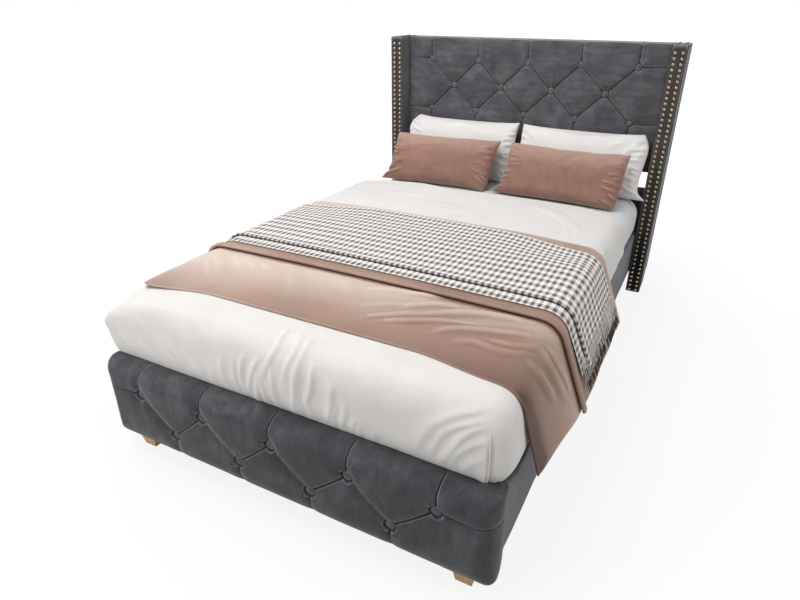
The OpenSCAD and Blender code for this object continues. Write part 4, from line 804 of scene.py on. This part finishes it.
# Duvet over the foot of the bed. Folds are drawn on its unfolded cover: u is across and v along the bed,
# and both run on down the sides. Each is (points, width, height, lean).
DUVET_RADII, DUVET_POWER, DUVET_CORNER = (101.5, 101.5, 141.0), 3.0, 3.7
SHARP_RADII, SHARP_CORNER = (101.5, 44.0, 141.0), 12.0
MITRE_U, MITRE_V = 607.0, -1120.0
DUVET_FOLDS = [
    # long folds at the left end
    ([(-605, -1144), (-598, -1186), (-571, -1231), (-559, -1262)], 15, 5, 0.3),
    ([(-540, -1120), (-517, -1194), (-473, -1250)], 13, 4.5, 0.3),
    ([(-508, -1094), (-471, -1161), (-420, -1229), (-391, -1260)], 12, 5, 0.3),
    ([(-485, -1105), (-431, -1175), (-375, -1252)], 11, 5, 0.3),
    ([(-454, -1110), (-394, -1200), (-347, -1262)], 12, 4.5, 0.3),
    ([(-415, -1140), (-344, -1216), (-302, -1266)], 12, 4.5, 0.2),
    ([(-346, -1171), (-299, -1223), (-263, -1270)], 11, 4, 0.2),
    # gathers in the middle
    ([(-238, -1190), (-224, -1274)], 10, 5, 0.2),
    ([(-187, -1150), (-183, -1216), (-163, -1274)], 11, 6, 0.2),
    ([(-142, -1125), (-139, -1206), (-130, -1272)], 11, 7, 0.2),
    ([(-101, -1110), (-116, -1195), (-103, -1270)], 10, 7, 0.2),
    ([(-51, -1110), (-82, -1189), (-100, -1254)], 10, 7, -0.2),
    ([(-56, -1150), (-62, -1226), (-80, -1280)], 10, 7, 0.1),
    ([(-13, -925), (1, -1029), (-16, -1114), (-53, -1194)], 12, 6, -0.2),
    ([(-10, -1118), (-4, -1200), (-1, -1272)], 10, 7, 0.2),
    ([(-47, -1171), (-42, -1230), (-38, -1280)], 9, 6, 0.2),
    ([(36, -945), (59, -1031), (49, -1090), (26, -1190)], 13, 6, -0.2),
    ([(61, -1090), (66, -1187), (50, -1274)], 10, 8, 0.1),
    ([(80, -940), (85, -1027), (76, -1120), (76, -1200), (84, -1274)], 12, 7, 0.1),
    ([(126, -1056), (122, -1150), (100, -1215)], 11, 7, -0.3),
    ([(100, -1175), (110, -1231), (114, -1274)], 10, 7, 0.2),
    ([(184, -1110), (181, -1188), (159, -1262)], 13, 7, -0.3),
    ([(200, -1175), (185, -1235), (181, -1278)], 10, 5, -0.2),
    ([(222, -1167), (220, -1211), (204, -1262)], 11, 5, -0.2),
    ([(250, -1205), (236, -1262)], 10, 4, -0.2),
    ([(262, -1225), (256, -1272)], 9, 4, 0),
    ([(310, -1222), (296, -1274)], 12, 3, -0.2),
    # folds that sweep into the corner on the right
    ([(590, -1030), (520, -1090), (459, -1153), (417, -1240)], 20, 6, -0.3),
    ([(597, -1075), (508, -1138), (480, -1185), (458, -1246)], 13, 6, -0.3),
    ([(600, -1095), (546, -1141), (505, -1216), (480, -1262)], 13, 7, -0.3),
    ([(600, -1135), (542, -1187), (510, -1250)], 12, 6, -0.3),
    ([(598, -1185), (562, -1222), (545, -1264)], 12, 4, -0.3),
    # soft creases towards the head
    ([(-182, 233), (-65, 218), (71, 188)], 26, 4, 0.3),
    ([(-166, 180), (-5, 162), (118, 199)], 24, 3.5, 0.2),
    ([(160, 440), (337, 343), (444, 237), (564, 63)], 26, 5, 0.5),
    ([(279, 400), (426, 307), (527, 134)], 18, 3, 0.3),
    ([(455, 200), (500, 50)], 16, 4, 0),
    ([(495, 180), (530, 55)], 14, 3, 0),
    ([(560, -10), (641, 4), (645, 90)], 20, 5, 0.2),
    ([(560, 290), (624, 385), (690, 440)], 22, 5, 0.2),
    ([(-600, 100), (-545, 207), (-440, 228)], 26, 4, 0.2),
    ([(-400, 243), (-319, 293), (-200, 290)], 26, 4, 0.2),
    ([(-30, 420), (60, 360), (120, 250)], 34, 3, 0.1),
]
cover_low, cover_high = duvet_low, duvet_high + [0, DUVET_RADII[1], 0]


def duvet_unfold(points):
    """Places (u, v) on the unfolded cover of points of the duvet's box."""
    fall = cover_high[2] - points[:, 2]
    front = points[:, 1] <= cover_low[1] + 1e-6
    side = (np.abs(points[:, 0]) >= cover_high[0] - 1e-6) & ~front
    u = points[:, 0] + np.where(side, np.sign(points[:, 0]) * fall, 0)
    v = points[:, 1] - np.where(front, fall, 0)
    return u, v, front


def duvet_skin(points):
    """Outer surface of the duvet at points of its box, and its outward directions."""
    outer, normal = round_off(points, cover_low, cover_high, DUVET_RADII, DUVET_POWER, DUVET_CORNER)
    # the corner at -X is sharper than the other one, and hangs a little
    sharp, sharp_normal = round_off(points, cover_low, cover_high, SHARP_RADII, DUVET_POWER, SHARP_CORNER)
    share = ease((-points[:, 0] - 200) / 300)[:, None]
    outer, normal = outer + (sharp - outer) * share, unit(normal + (sharp_normal - normal) * share)
    from_corner = points[:, :2] - cover_low[:2]
    near = np.exp(-(from_corner[:, 0] / 150) ** 2 - (from_corner[:, 1] / 165) ** 2)
    outer[:, 2] -= 27 * near * np.clip((outer[:, 2] - SWELL_Z) / 140, 0, 1)
    tip = ((from_corner / 75) ** 2).sum(1)
    outer[:, 2] -= 20 * np.exp(-tip) * np.clip((outer[:, 2] - 455) / 70, 0, 1)
    outer[:, :2] -= (9 * np.exp(-3 * tip) * np.exp(-((outer[:, 2] - 458) / 34) ** 2))[:, None]
    outer = tuck_in(outer, normal, cover_low[2], 13)
    outer[:, 0] += normal[:, 0] * 9 * np.exp(-((outer[:, 2] - 398) / 42) ** 2)
    # folds, with finer ones between the drawn gathers, and none under the blanket
    u, v, front = duvet_unfold(points)
    folds = strokes(u, v, DUVET_FOLDS)
    gathered = np.exp(-((u - 20) / 230) ** 4) * ease(np.clip(-1100 - v, 0, 200) / 70)
    folds += gathered * (noise(u, v, (23, 130), 61) * 1.5 + noise(u, v, (13, 90), 62) * 0.8)
    folds += noise(u, v, (170, 120), 63) * 2.2 + noise(u, v, (60, 52), 64) * 0.8
    flap = np.where(u <= MITRE_U, 5.5 * ease((u - MITRE_U + 34) / 34), -1.5 * (1 - ease((u - MITRE_U) / 30)))
    folds += ease((MITRE_V - v) / 50) * front * flap
    under = [ease((points[:, 1] - edge) / reach)
             for edge, reach in ((blanket_low[1] - 40, 40), (blanket_high[1] - 60, 60))]
    covered = under[0] * (1 - under[1])
    folds = folds * (1 - covered) - 1.2 * covered
    # the end at the head: a slightly wavy edge with rounded corners
    pull = 16 * (1 + noise(u, 0 * u, 160, 65)) + 62 * ease((np.abs(u) - 430) / 200)
    outer[:, 1] -= pull * np.clip((points[:, 1] - 250) / (duvet_high[1] - 250), 0, 1) ** 1.5
    return outer + normal * folds[:, None], normal


points, quads = box_skin(cover_low, cover_high, (5, 6, 5), leave_out=("z0", "y1"))
keep = points[:, 1] <= duvet_high[1] + 0.1
used, quads = np.unique(quads[keep[quads].all(1)], return_inverse=True)
points, quads = points[used], quads.reshape(-1, 4)
outer, normal = duvet_skin(points)
smooth, smooth_normal = round_off(points, cover_low, cover_high, DUVET_RADII, DUVET_POWER)
thickness = np.linalg.norm(smooth_normal * [13.0, 13.0, 55.0], axis=1)
inner = tuck_in(smooth - smooth_normal * thickness[:, None], smooth_normal, cover_low[2], 10)
inner[:, 1] += outer[:, 1] - smooth[:, 1]
edge = np.where((points[:, 1] > duvet_high[1] - 5)[:, None], [[0.0, 18.0, 0.0]], [[0.0, 0.0, -4.0]])
verts, quads = closed_shell(outer, inner, quads, edge, 4)
duvet = add_piece("duvet_cover", verts, quads, "mattress", "duvet_cotton", ["duvet"])

# Piped edge of the cover's corner
fall = np.linspace(MITRE_V + 6, cover_low[1] - (cover_high[2] - cover_low[2]) + 3, 30)
rail = np.stack([0 * fall + MITRE_U + 1, 0 * fall + cover_low[1], cover_high[2] + (fall - cover_low[1])], 1)
skin, out_way = duvet_skin(rail)
lift = 1.5 + 3.0 * ease((MITRE_V - fall) / 50)
radius = np.interp(np.arange(30), [0, 4, 26, 29], [0.5, 2.0, 2.0, 1.2])
add_piece("duvet_piping", *tube(skin + out_way * lift[:, None], radius), "mattress", "duvet_cotton")

# Blanket and throw

# Section of the duvet's top, shoulder and side, on which the layers lie
SHOULDER_X, SHOULDER_Z = 552.0, 406.08
SHOULDER_RX, SHOULDER_UP, SHOULDER_POWER, CROWN = 101.5, 141.42, 0.66, 5.0
HANG_FROM = 30.0


def section(flare, drop):
    """Half section of the duvet's skin, middle to hem: runs along it, points (x, z) and normals."""
    flat = np.linspace(0, 1, 30)[:-1]
    top = np.stack([SHOULDER_X * flat, SHOULDER_Z + SHOULDER_UP + CROWN * (1 - flat ** 2)], 1)
    turn = np.radians(np.linspace(90, HANG_FROM, 50))
    shoulder = np.stack([SHOULDER_X + SHOULDER_RX * np.cos(turn) ** SHOULDER_POWER,
                         SHOULDER_Z + SHOULDER_UP * np.sin(turn) ** SHOULDER_POWER], 1)
    lean = math.radians(flare)
    down = np.array([[math.sin(lean), -math.cos(lean)]])
    hang = shoulder[-1] + np.linspace(0, 1, 20)[1:, None] * drop * down
    points = np.concatenate([top, shoulder, hang])
    runs = np.concatenate([[0], np.cumsum(np.hypot(*np.diff(points, axis=0).T))])
    ahead = np.gradient(points, axis=0)
    normal = np.stack([-ahead[:, 1], ahead[:, 0]], 1)
    return runs, points, unit(normal)


def sway(y):
    """Degrees by which a side hangs further out or in at y."""
    return 0.4 * np.sin(y / 235 * 2 * math.pi + 0.9)


def lay_layer(path, flares, drops, columns):
    """Middle of a sheet laid over the bed: points (rows, columns, 3), the runs across it and its lifts.

    path is the sheet's side view, in places along the bed and heights above the duvet. The first
    column is at +X.
    """
    points = np.empty((len(path), columns, 3))
    lifts = np.empty_like(points)
    share = np.linspace(1, -1, columns)
    side = np.sign(share)
    across = np.empty((len(path), columns))
    for j, ((y, height), flare, drop) in enumerate(zip(path, flares, np.broadcast_to(drops, len(path)))):
        runs, places, normal = section(flare, drop)
        across[j] = share * runs[-1]
        x, z, nx, nz = (np.interp(np.abs(share) * runs[-1], runs, line) for line in (*places.T, *normal.T))
        lifts[j] = np.stack([side * nx, 0 * nx, nz], 1)
        points[j] = np.stack([side * x, np.full(columns, y), z], 1) + lifts[j] * height
    return points, across, lifts


def u_turn(y, low, high, towards, count=9):
    """Half circle from height low to height high at y, that stands out towards +Y (1) or -Y (-1)."""
    turn = np.linspace(-90, 90, count)[1:-1] * math.pi / 180
    middle, radius = (low + high) / 2, abs(high - low) / 2
    rise = 1 if high > low else -1
    return np.stack([y + towards * radius * np.cos(turn), middle + rise * radius * np.sin(turn)], 1)


def level(y0, y1, height0, height1, step):
    """Straight stretch of a folded sheet's side view."""
    count = max(2, int(abs(y1 - y0) / step) + 1)
    return np.stack([np.linspace(y0, y1, count), np.linspace(height0, height1, count)], 1)


def sheet_shell(middle, thickness, rings=3):
    """Closed shell about a grid of middle points."""
    rows, columns = middle.shape[:2]
    quads = grid_quads(rows, columns)
    flat = middle.reshape(-1, 3)
    normal = vertex_normals(flat, quads)
    across = np.zeros_like(middle)
    across[0] += middle[0] - middle[1]
    across[-1] += middle[-1] - middle[-2]
    across[:, 0] += middle[:, 0] - middle[:, 1]
    across[:, -1] += middle[:, -1] - middle[:, -2]
    across = unit(across.reshape(-1, 3))
    half = thickness / 2
    return closed_shell(flat + normal * half, flat - normal * half, quads, across * half, rings)


def shell_uv(across, along, verts):
    """Cloth coordinates of a sheet_shell's vertices, in millimetres of flat cloth."""
    grid = np.stack([across, np.broadcast_to(along[:, None], across.shape)], -1).reshape(-1, 2)
    rows, columns = across.shape
    edge = np.zeros((rows, columns), bool)
    edge[0] = edge[-1] = edge[:, 0] = edge[:, -1] = True
    rim = grid[edge.ravel()]
    rings = (len(verts) - 2 * len(grid)) // len(rim)
    return np.concatenate([grid, grid] + [rim] * rings)


def run_along(path):
    """Length along a side view, from its start."""
    return np.concatenate([[0], np.cumsum(np.hypot(*np.diff(path, axis=0).T))])


def cloth_piece(name, slot, node, middle, across, along, thickness):
    """A sheet as a piece, and the size of its flat cloth in metres."""
    verts, quads = sheet_shell(middle, thickness)
    obj = add_piece(name, verts, quads, "mattress", slot, [node], uv=shell_uv(across, along, verts))
    return obj, (round(2 * across.max() * MM, 3), round(along[-1] * MM, 3))


# Blanket: rolled hem at the fold edge, back to the head edge, round it and down to the foot
BLANKET_T = 4.0
BLANKET_FOLD, BLANKET_ROLL = -610.0, 44.0
blanket_foot_edge, blanket_head_edge = blanket_low[1], blanket_high[1]
path = np.concatenate([
    level(BLANKET_FOLD + 28, BLANKET_FOLD + 6, 10.0, 11.6, 7),
    u_turn(BLANKET_FOLD + 5, 11.6, 18.6, -1),
    level(BLANKET_FOLD + 6, BLANKET_FOLD + 20, 18.6, 18.2, 7),
    level(BLANKET_FOLD + 26, BLANKET_FOLD + BLANKET_ROLL + 4, 17.0, 8.0, 7),
    level(BLANKET_FOLD + BLANKET_ROLL + 12, blanket_head_edge - 4.5, 7.2, 7.2, 12),
    u_turn(blanket_head_edge - 4.5, 7.2, 2.5, 1),
    level(blanket_head_edge - 4.5, BLANKET_FOLD + 10, 2.5, 2.5, 16),
    level(BLANKET_FOLD + 5, blanket_foot_edge + 2, 2.5, 2.5, 4)])
# Ridges of the lower layer, drawn on its flat cloth: runs across from its middle, and places along the bed
BLANKET_FOLDS = [
    ([(159, -645), (225, -625), (290, -603), (346, -577)], 13, 4, 0.4),
    ([(206, -728), (253, -689), (299, -662), (365, -639)], 14, 5, 0.4),
    ([(206, -788), (271, -765), (337, -706), (440, -652), (558, -629)], 15, 7, 0.4),
    ([(253, -822), (318, -770), (402, -734), (458, -709)], 13, 5, 0.4),
    ([(337, -839), (393, -785), (496, -737), (592, -696)], 15, 7, 0.4),
    ([(402, -856), (458, -816), (515, -819), (574, -807), (615, -768)], 15, 5, 0.4),
    ([(487, -784), (567, -775), (612, -734)], 13, 5, 0.4),
    ([(607, -732), (660, -750), (783, -690)], 16, 7, 0.3),
    ([(619, -709), (684, -697), (789, -646)], 14, 6, 0.3),
    ([(593, -805), (651, -820), (754, -762)], 15, 5, 0.3),
    ([(-496, -623), (-402, -715)], 14, 4, 0.3),
    ([(-458, -619), (-346, -706)], 14, 4, 0.3),
    ([(-365, -645), (-290, -693)], 13, 4, 0.3),
    ([(-565, -635), (-458, -758), (-402, -841)], 17, 5, 0.3),
    ([(-543, -716), (-430, -841)], 15, 4, 0.3),
    ([(47, -669), (122, -640), (215, -619)], 13, 5, 0.4),
    ([(94, -791), (168, -728), (253, -690)], 15, 6, 0.4),
    ([(140, -847), (215, -798), (281, -753)], 14, 5, 0.4),
    ([(196, -849), (299, -786)], 13, 4, 0.4),
    ([(-60, -640), (0, -680), (40, -740)], 20, 4, 0.3),
    ([(-250, -640), (-180, -720), (-120, -830)], 22, 4, 0.3),
]


def real_ridges(folds):
    """The ridges at their width and height: those at +X are narrower and higher."""
    grow = [(1.2, 2.3) if points[0][0] > 100 else (1.7, 1.1) for points, *_ in folds]
    return [(p, wide * w, high * h, lean) for (p, w, h, lean), (wide, high) in zip(folds, grow)]


near_foot = 1 - np.clip((path[:, 0] - blanket_foot_edge) / 340, 0, 1)
flares, drops = 21 - 5 * near_foot + sway(path[:, 0]), 222 - 42 * near_foot
middle, across, lifts = lay_layer(path, flares, drops, columns=260)
along = run_along(path)
lower = (np.arange(len(path)) > np.argmax(path[:, 0])) & (path[:, 0] < BLANKET_FOLD + 60)
run, place = across[lower].ravel(), np.broadcast_to(path[lower, :1], across[lower].shape).ravel()
ridge = strokes(run, place, real_ridges(BLANKET_FOLDS))
ridge += 1.4 * (1 + noise(run, place, (190, 60), 66)) * ease((-600 - place) / 60)
ridge *= 1 - 0.6 * ease((blanket_foot_edge + 35 - place) / 25)
under = ease((place - BLANKET_FOLD + 12) / 20)
ridge = np.where(place > BLANKET_FOLD - 12, ridge * (1 - under), ridge)
middle[lower] += lifts[lower] * ridge.reshape(across[lower].shape + (1,))
# its ends: the front hem runs in a shallow bow, its corner at -X is drawn in, and so is the head edge
y = path[:, :1]
middle[..., 1] += 36 * (1 - ease((np.abs(across) - 330) / 260)) * ease((-660 - y) / 290)
middle[..., 1] += 75 * ease((-across - 570) / 110) * ease((-740 - y) / 210)
middle[..., 1] -= (14 + 24 * ease((np.abs(across) - 300) / 340)) * ease((y + 190) / 235)
blanket, flat = cloth_piece("blanket_cloth", "blanket_wool", "blanket", middle, across, along, BLANKET_T)

# Throw: fold edge of the upper layer, back to the head edge, round it and down to its foot edge
THROW_T, FRINGE = 2.4, 62.0
THROW_FOLD, THROW_TOP = -498.0, 15.8
THROW_FLARE, THROW_DROP = 23.0, 198.0
path = np.concatenate([
    level(THROW_FOLD + 20, THROW_FOLD + 3, 17.8, 18.6, 6),
    u_turn(THROW_FOLD + 2.4, 18.6, 22.0, -1, 7),
    level(THROW_FOLD + 3, THROW_FOLD + 16, 22.0, 21.6, 6),
    level(THROW_FOLD + 22, THROW_FOLD + 38, 20.8, 16.4, 6),
    level(THROW_FOLD + 46, throw_high[1] - 3, THROW_TOP, THROW_TOP, 8),
    u_turn(throw_high[1] - 3, THROW_TOP, 12.4, 1, 7),
    level(throw_high[1] - 3, THROW_FOLD + 10, 12.4, 12.4, 16),
    level(THROW_FOLD + 4, throw_low[1] + 1.5, 12.4, 12.4, 5)])
flares = THROW_FLARE + sway(path[:, 0])
middle, across, lifts = lay_layer(path, flares, THROW_DROP - FRINGE, columns=300)
along = run_along(path)


def throw_pull(run, y):
    """How far the throw's head part is drawn towards the foot: more at the shoulders."""
    return (44 + 62 * ease((np.abs(run) - 250) / 340)) * ease((y + 260) / 295)


puff = 1.2 * noise(across, np.broadcast_to(path[:, :1], across.shape), (240, 46), 67)
middle += lifts * (np.maximum(puff, 0) * (path[:, 1:] > THROW_TOP - 0.3))[..., None]
middle[..., 1] -= throw_pull(across, path[:, :1])
throw, flat = cloth_piece("throw_cloth", "throw_gingham", "throw", middle, across, along, THROW_T)


def fringe(name, material, spread, start, length, height, radius, seed):
    """Strands that hang over both side hems, from start above a hem to length below it."""
    rng = np.random.default_rng(seed)
    t = np.linspace(0, 1, 8)
    parts = []
    for side in (1, -1):
        for y in spread:
            y = y + rng.uniform(-1.5, 1.5)
            lean = rng.normal(0, 7)
            bend = rng.normal(0, 4)
            lift = height + rng.uniform(0, 1.6)
            runs, places, normal = section(THROW_FLARE + sway(y), THROW_DROP)
            hem = runs[-1] - FRINGE
            y = y - throw_pull(hem, y)
            reach = length * rng.uniform(0.86, 1.0)
            first = start * rng.uniform(0.55, 1.0)
            run = hem - first + t * (first + reach)
            x, z = (np.interp(run, runs, places[:, k]) + np.interp(run, runs, normal[:, k]) * lift
                    for k in (0, 1))
            ys = y + lean * t ** 1.5 + bend * np.sin(t * math.pi)
            parts.append(tube(np.stack([side * x, ys, z], 1), radius * np.linspace(1, 0.75, 8), 5))
    return add_piece(name, *join_parts(parts), "mattress", "throw_gingham", material=material)


spread = np.arange(throw_low[1] + 4, throw_high[1] - 3, 6.0)
white_fringe = fringe("throw_fringe_white", "fringe_white", spread, 58, 26, 18.6, 1.1, 71)
black_fringe = fringe("throw_fringe_black", "fringe_black", spread + 2.4, 10, FRINGE, 15.6, 1.5, 72)

# Pillows and cushions
SIDE_HEIGHTS = (-1.0, -0.75, -0.3, 0.2, 0.7, 1.0)
SIDE_GATHERS, SMOOTHINGS = 9, 30


def two_sided(columns, rows):
    """Quads of a closed form of two grids that share their border."""
    front = np.arange(columns * rows).reshape(rows, columns)
    back = front.copy()
    back[1:-1, 1:-1] = front.size + np.arange((columns - 2) * (rows - 2)).reshape(rows - 2, columns - 2)
    quads = [np.stack([index[:-1, :-1], index[:-1, 1:], index[1:, 1:], index[1:, :-1]], -1).reshape(-1, 4)
             for index in (front, back)]
    return np.concatenate([quads[0], quads[1][:, ::-1]])


def stuffed_form(columns, rows, size, left, right, creases, seed):
    """A stuffed case with its width along X, thickness along Y and height along Z.

    left and right list how far the short sides stand out at SIDE_HEIGHTS, and gathers fan out from both.
    """
    width, height, thick = size
    u, v = np.meshgrid(np.linspace(-1, 1, columns), np.linspace(-1, 1, rows))
    x = width / 2 * u
    for offsets, weight in ((left, -1), (right, 1)):
        side = np.interp(v, SIDE_HEIGHTS, offsets)
        for _ in range(SMOOTHINGS):
            side[1:-1] = (side[:-2] + 2 * side[1:-1] + side[2:]) / 4
        x += side * weight * np.clip(u * weight, 0, 1) ** 2.5
    z = height / 2 * v * (1 - 0.035 * (1 - u * u))
    y = thick / 2 * ((1 - u * u) * (1 - v * v)) ** 0.42
    rng = np.random.default_rng(seed)
    gathers = list(creases)
    for side in (-1, 1):
        for k in range(SIDE_GATHERS):
            start = ((k + rng.uniform(0.25, 0.75)) / SIDE_GATHERS * 2 - 1) * height * 0.47
            reach = rng.uniform(40, 110)
            end = start * (1 - reach / 300) + rng.uniform(-10, 10)
            inner = side * (width / 2 - reach)
            line = [(side * width / 2, start), (inner, end)]
            gathers.append((line, rng.uniform(8, 12), rng.uniform(9, 15), 0.3))
    flat_x, flat_z = (width / 2 * u).ravel(), z.ravel()
    folds = (strokes(flat_x, flat_z, gathers) + 3.0 * noise(flat_x, flat_z, (120, 60), seed)).reshape(u.shape)
    folds = folds * np.clip(y / 14, 0, 1)
    front, back = (np.stack([x, way * y, z], -1) for way in (-1, 1))
    lift_front, lift_back = (np.stack([0 * x, way * folds, 0 * z], -1) for way in (-1, 0.6))
    return (np.concatenate([front.reshape(-1, 3), back[1:-1, 1:-1].reshape(-1, 3)]),
            np.concatenate([lift_front.reshape(-1, 3), lift_back[1:-1, 1:-1].reshape(-1, 3)]))


def swell(verts, quads, pressure, frames, cap):
    """Blows a closed form up as sewn cloth; no point ends further than cap from where it began."""
    scene = bpy.context.scene
    obj = make_mesh("swelling", verts, quads)
    cloth = obj.modifiers.new("cloth", "CLOTH")
    settings = cloth.settings
    settings.effector_weights.gravity = 0
    settings.use_pressure = True
    settings.uniform_pressure_force = pressure
    settings.quality = 6
    settings.tension_stiffness = settings.compression_stiffness = 20
    settings.bending_stiffness = 0.3
    cloth.point_cache.frame_start, cloth.point_cache.frame_end = 1, frames
    for frame_number in range(1, frames + 1):
        scene.frame_set(frame_number)
    moved = obj.evaluated_get(bpy.context.evaluated_depsgraph_get())
    found = np.empty(3 * len(verts), np.float32)
    moved.data.vertices.foreach_get("co", found)
    scene.frame_set(1)
    obj.modifiers.remove(cloth)
    mesh = obj.data
    bpy.data.objects.remove(obj)
    bpy.data.meshes.remove(mesh)
    step = found.reshape(-1, 3) / MM - verts
    length = np.linalg.norm(step, axis=1)[:, None]
    return verts + step * np.minimum(1, cap / np.maximum(length, 1e-6))


PILLOW, CUSHION = (606, 316, 150), (555, 272, 130)  # width, height and thickness


def stuffed_piece(kind, name, slot, size, lean, turn, left, right, creases, seed):
    """A pillow or cushion, leaned back and turned into the box of its node."""
    columns, rows = 112, 60
    quads = two_sided(columns, rows)
    verts, folds = stuffed_form(columns, rows, size, left, right, creases, seed)
    verts[:, 1] *= 0.93
    verts = swell(verts + 0.4 * folds, quads, pressure=3.0, frames=14, cap=8) - 0.4 * folds
    a, b = math.radians(lean), math.radians(turn)
    x, y, z = (verts + folds).T
    y, z = y * math.cos(a) + z * math.sin(a), -y * math.sin(a) + z * math.cos(a)
    x, y = x * math.cos(b) - y * math.sin(b), x * math.sin(b) + y * math.cos(b)
    verts = np.stack([x, y, z], 1)
    node = kind + "_" + name
    low, high = node_box(node)
    verts += [(low[0] + high[0]) / 2, high[1] - y.max(), low[2] - z.min()]
    obj = add_piece(kind + "_case_" + name, verts, quads, node, slot, [node])
    finer = obj.modifiers.new("finer", "SUBSURF")
    finer.levels = finer.render_levels = 1
    with bpy.context.temp_override(object=obj, active_object=obj):
        bpy.ops.object.modifier_apply(modifier=finer.name)


for name, left, right, creases, seed in (
        ("left", (0, -4, 0, 4, 6, -48), (-24, -12, -4, 2, 6, 8),
         [([(-40, 150), (60, 100), (180, 70)], 22, 4, 0.3)], 81),
        ("right", (0, 0, 2, 4, 2, 0), (42, 6, 4, 14, 16, -16),
         [([(285, 135), (215, 118), (130, 70)], 13, 8, 0.4),
          ([(280, 120), (230, 80), (190, 20)], 14, 8, 0.4),
          ([(270, 140), (180, 138), (80, 112)], 12, 5, 0.3),
          ([(286, 90), (262, 20), (258, -60)], 12, 8, 0.5)], 82)):
    stuffed_piece("pillow", name, "pillow_cotton", PILLOW, 17, 0, left, right, creases, seed)
for name, turn, left, right, creases, seed in (
        ("left", 3, (42, 14, 5, 2, 0, -2), (-28, -12, -6, 0, 6, 14),
         [([(-190, 46), (-20, 62), (150, 44)], 17, 6, 0.5),
          ([(-60, -60), (40, -76), (130, -70)], 15, 5, -0.4),
          ([(265, 120), (190, 90), (120, 78)], 12, 7, 0.4),
          ([(260, 100), (200, 40), (150, 10)], 12, 6, 0.4)], 91),
        ("right", -2, (40, 14, 5, 4, 4, 6), (-4, 2, 8, 12, 12, 14),
         [([(120, 130), (30, 84), (-50, 20)], 16, 8, -0.5),
          ([(150, 112), (70, 60), (20, 4)], 13, 6, -0.5),
          ([(265, 110), (200, 70), (160, 10)], 12, 6, 0.4)], 92)):
    stuffed_piece("cushion", name, "cushion_velvet", CUSHION, 33, turn, left, right, creases, seed)

# Camera, light and floor
CAMERA_PLACE = (0.9071, -2.0524, 1.3433)
CAMERA_TILT, CAMERA_TURN = 63.0849, 27.9075
LENS, SENSOR = 26.546, 36
LAMPS = (
    # name, place, target, width, power
    ("key", (-0.7, -1.3, 3.4), (0, 0, 0.5), 2.2, 64),
    ("front_left", (-1.9, -3.5, 0.7), (-0.3, -1.1, 0.3), 1.4, 27),
    ("side", (-3.2, 1.2, 2.6), (0, -0.2, 0.5), 2.0, 28),
    ("head", (-0.6, -0.6, 2.4), (0, 1.1, 0.9), 1.0, 6),
    ("fill", (3.4, -0.4, 2.0), (0, -0.1, 0.4), 2.4, 30))
WORLD_LIGHT = 0.38
FLOOR_SIZE, FLOOR_GLOW, FLOOR_WHITE = 60000.0, 0.8, 1.08
FLOOR_NEAR, FLOOR_FAR = 1.2, 2.8  # metres from the middle, between which it turns all white
scene = bpy.context.scene

camera = bpy.data.objects.new("camera", bpy.data.cameras.new("camera"))
camera.location = CAMERA_PLACE
camera.rotation_euler = (math.radians(CAMERA_TILT), 0, math.radians(CAMERA_TURN))
camera.data.sensor_width, camera.data.lens, camera.data.clip_end = SENSOR, LENS, 100
scene.collection.objects.link(camera)
scene.camera = camera


def area_light(name, place, target, size, power):
    """A square soft lamp that looks at target."""
    lamp = bpy.data.lights.new(name, "AREA")
    lamp.shape, lamp.size, lamp.energy = "SQUARE", size, power
    obj = bpy.data.objects.new(name, lamp)
    obj.location = place
    away = np.array(place) - np.array(target)
    flat = math.hypot(away[0], away[1])
    obj.rotation_euler = (math.atan2(flat, away[2]), 0, math.atan2(away[1], away[0]) + math.pi / 2)
    scene.collection.objects.link(obj)


for lamp in LAMPS:
    area_light(*lamp)

scene.world = bpy.data.worlds.new("studio")
scene.world.use_nodes = True
w = Nodes(scene.world.node_tree)
rays = w.node("ShaderNodeLightPath").outputs
seen = w.math("MAXIMUM", rays["Is Camera Ray"], rays["Is Transmission Ray"])
background = w.node("ShaderNodeBackground", {
    "Color": (1, 1, 1, 1), "Strength": w.span(seen, 0.0, 1.0, WORLD_LIGHT, 1.0)})
w.node("ShaderNodeOutputWorld", {"Surface": background.outputs[0]})

# Pale floor: seen directly it is mostly white of its own, and the rest takes light and shadow
half = FLOOR_SIZE / 2
floor = make_mesh("floor", [(-half, -half, 0), (half, -half, 0), (half, half, 0), (-half, half, 0)],
                  np.array([[0, 1, 2, 3]]))
m = Material("floor_paper", {
    "Base Color": (0.62, 0.62, 0.62, 1), "Roughness": 0.95, "Specular IOR Level": 0.1})
glow = m.node("ShaderNodeEmission", {"Color": (1, 1, 1, 1), "Strength": FLOOR_WHITE})
rays = m.node("ShaderNodeLightPath").outputs
away = m.node("ShaderNodeVectorMath", {0: m.coords}, operation="LENGTH").outputs["Value"]
seen = m.math("MULTIPLY", m.math("MAXIMUM", rays["Is Camera Ray"], rays["Is Glossy Ray"]),
              m.span(away, FLOOR_NEAR, FLOOR_FAR, FLOOR_GLOW, 1.0))
paper = m.node("ShaderNodeMixShader", {0: seen, 1: m.shader.outputs[0], 2: glow.outputs[0]})
m.tree.links.new(paper.outputs[0], m.out.inputs["Surface"])
m.bump(m.noise(40.0, 3.0), 0.0002, 0.2)
floor.data.materials.append(m.mat)

scene.view_settings.view_transform = "Standard"
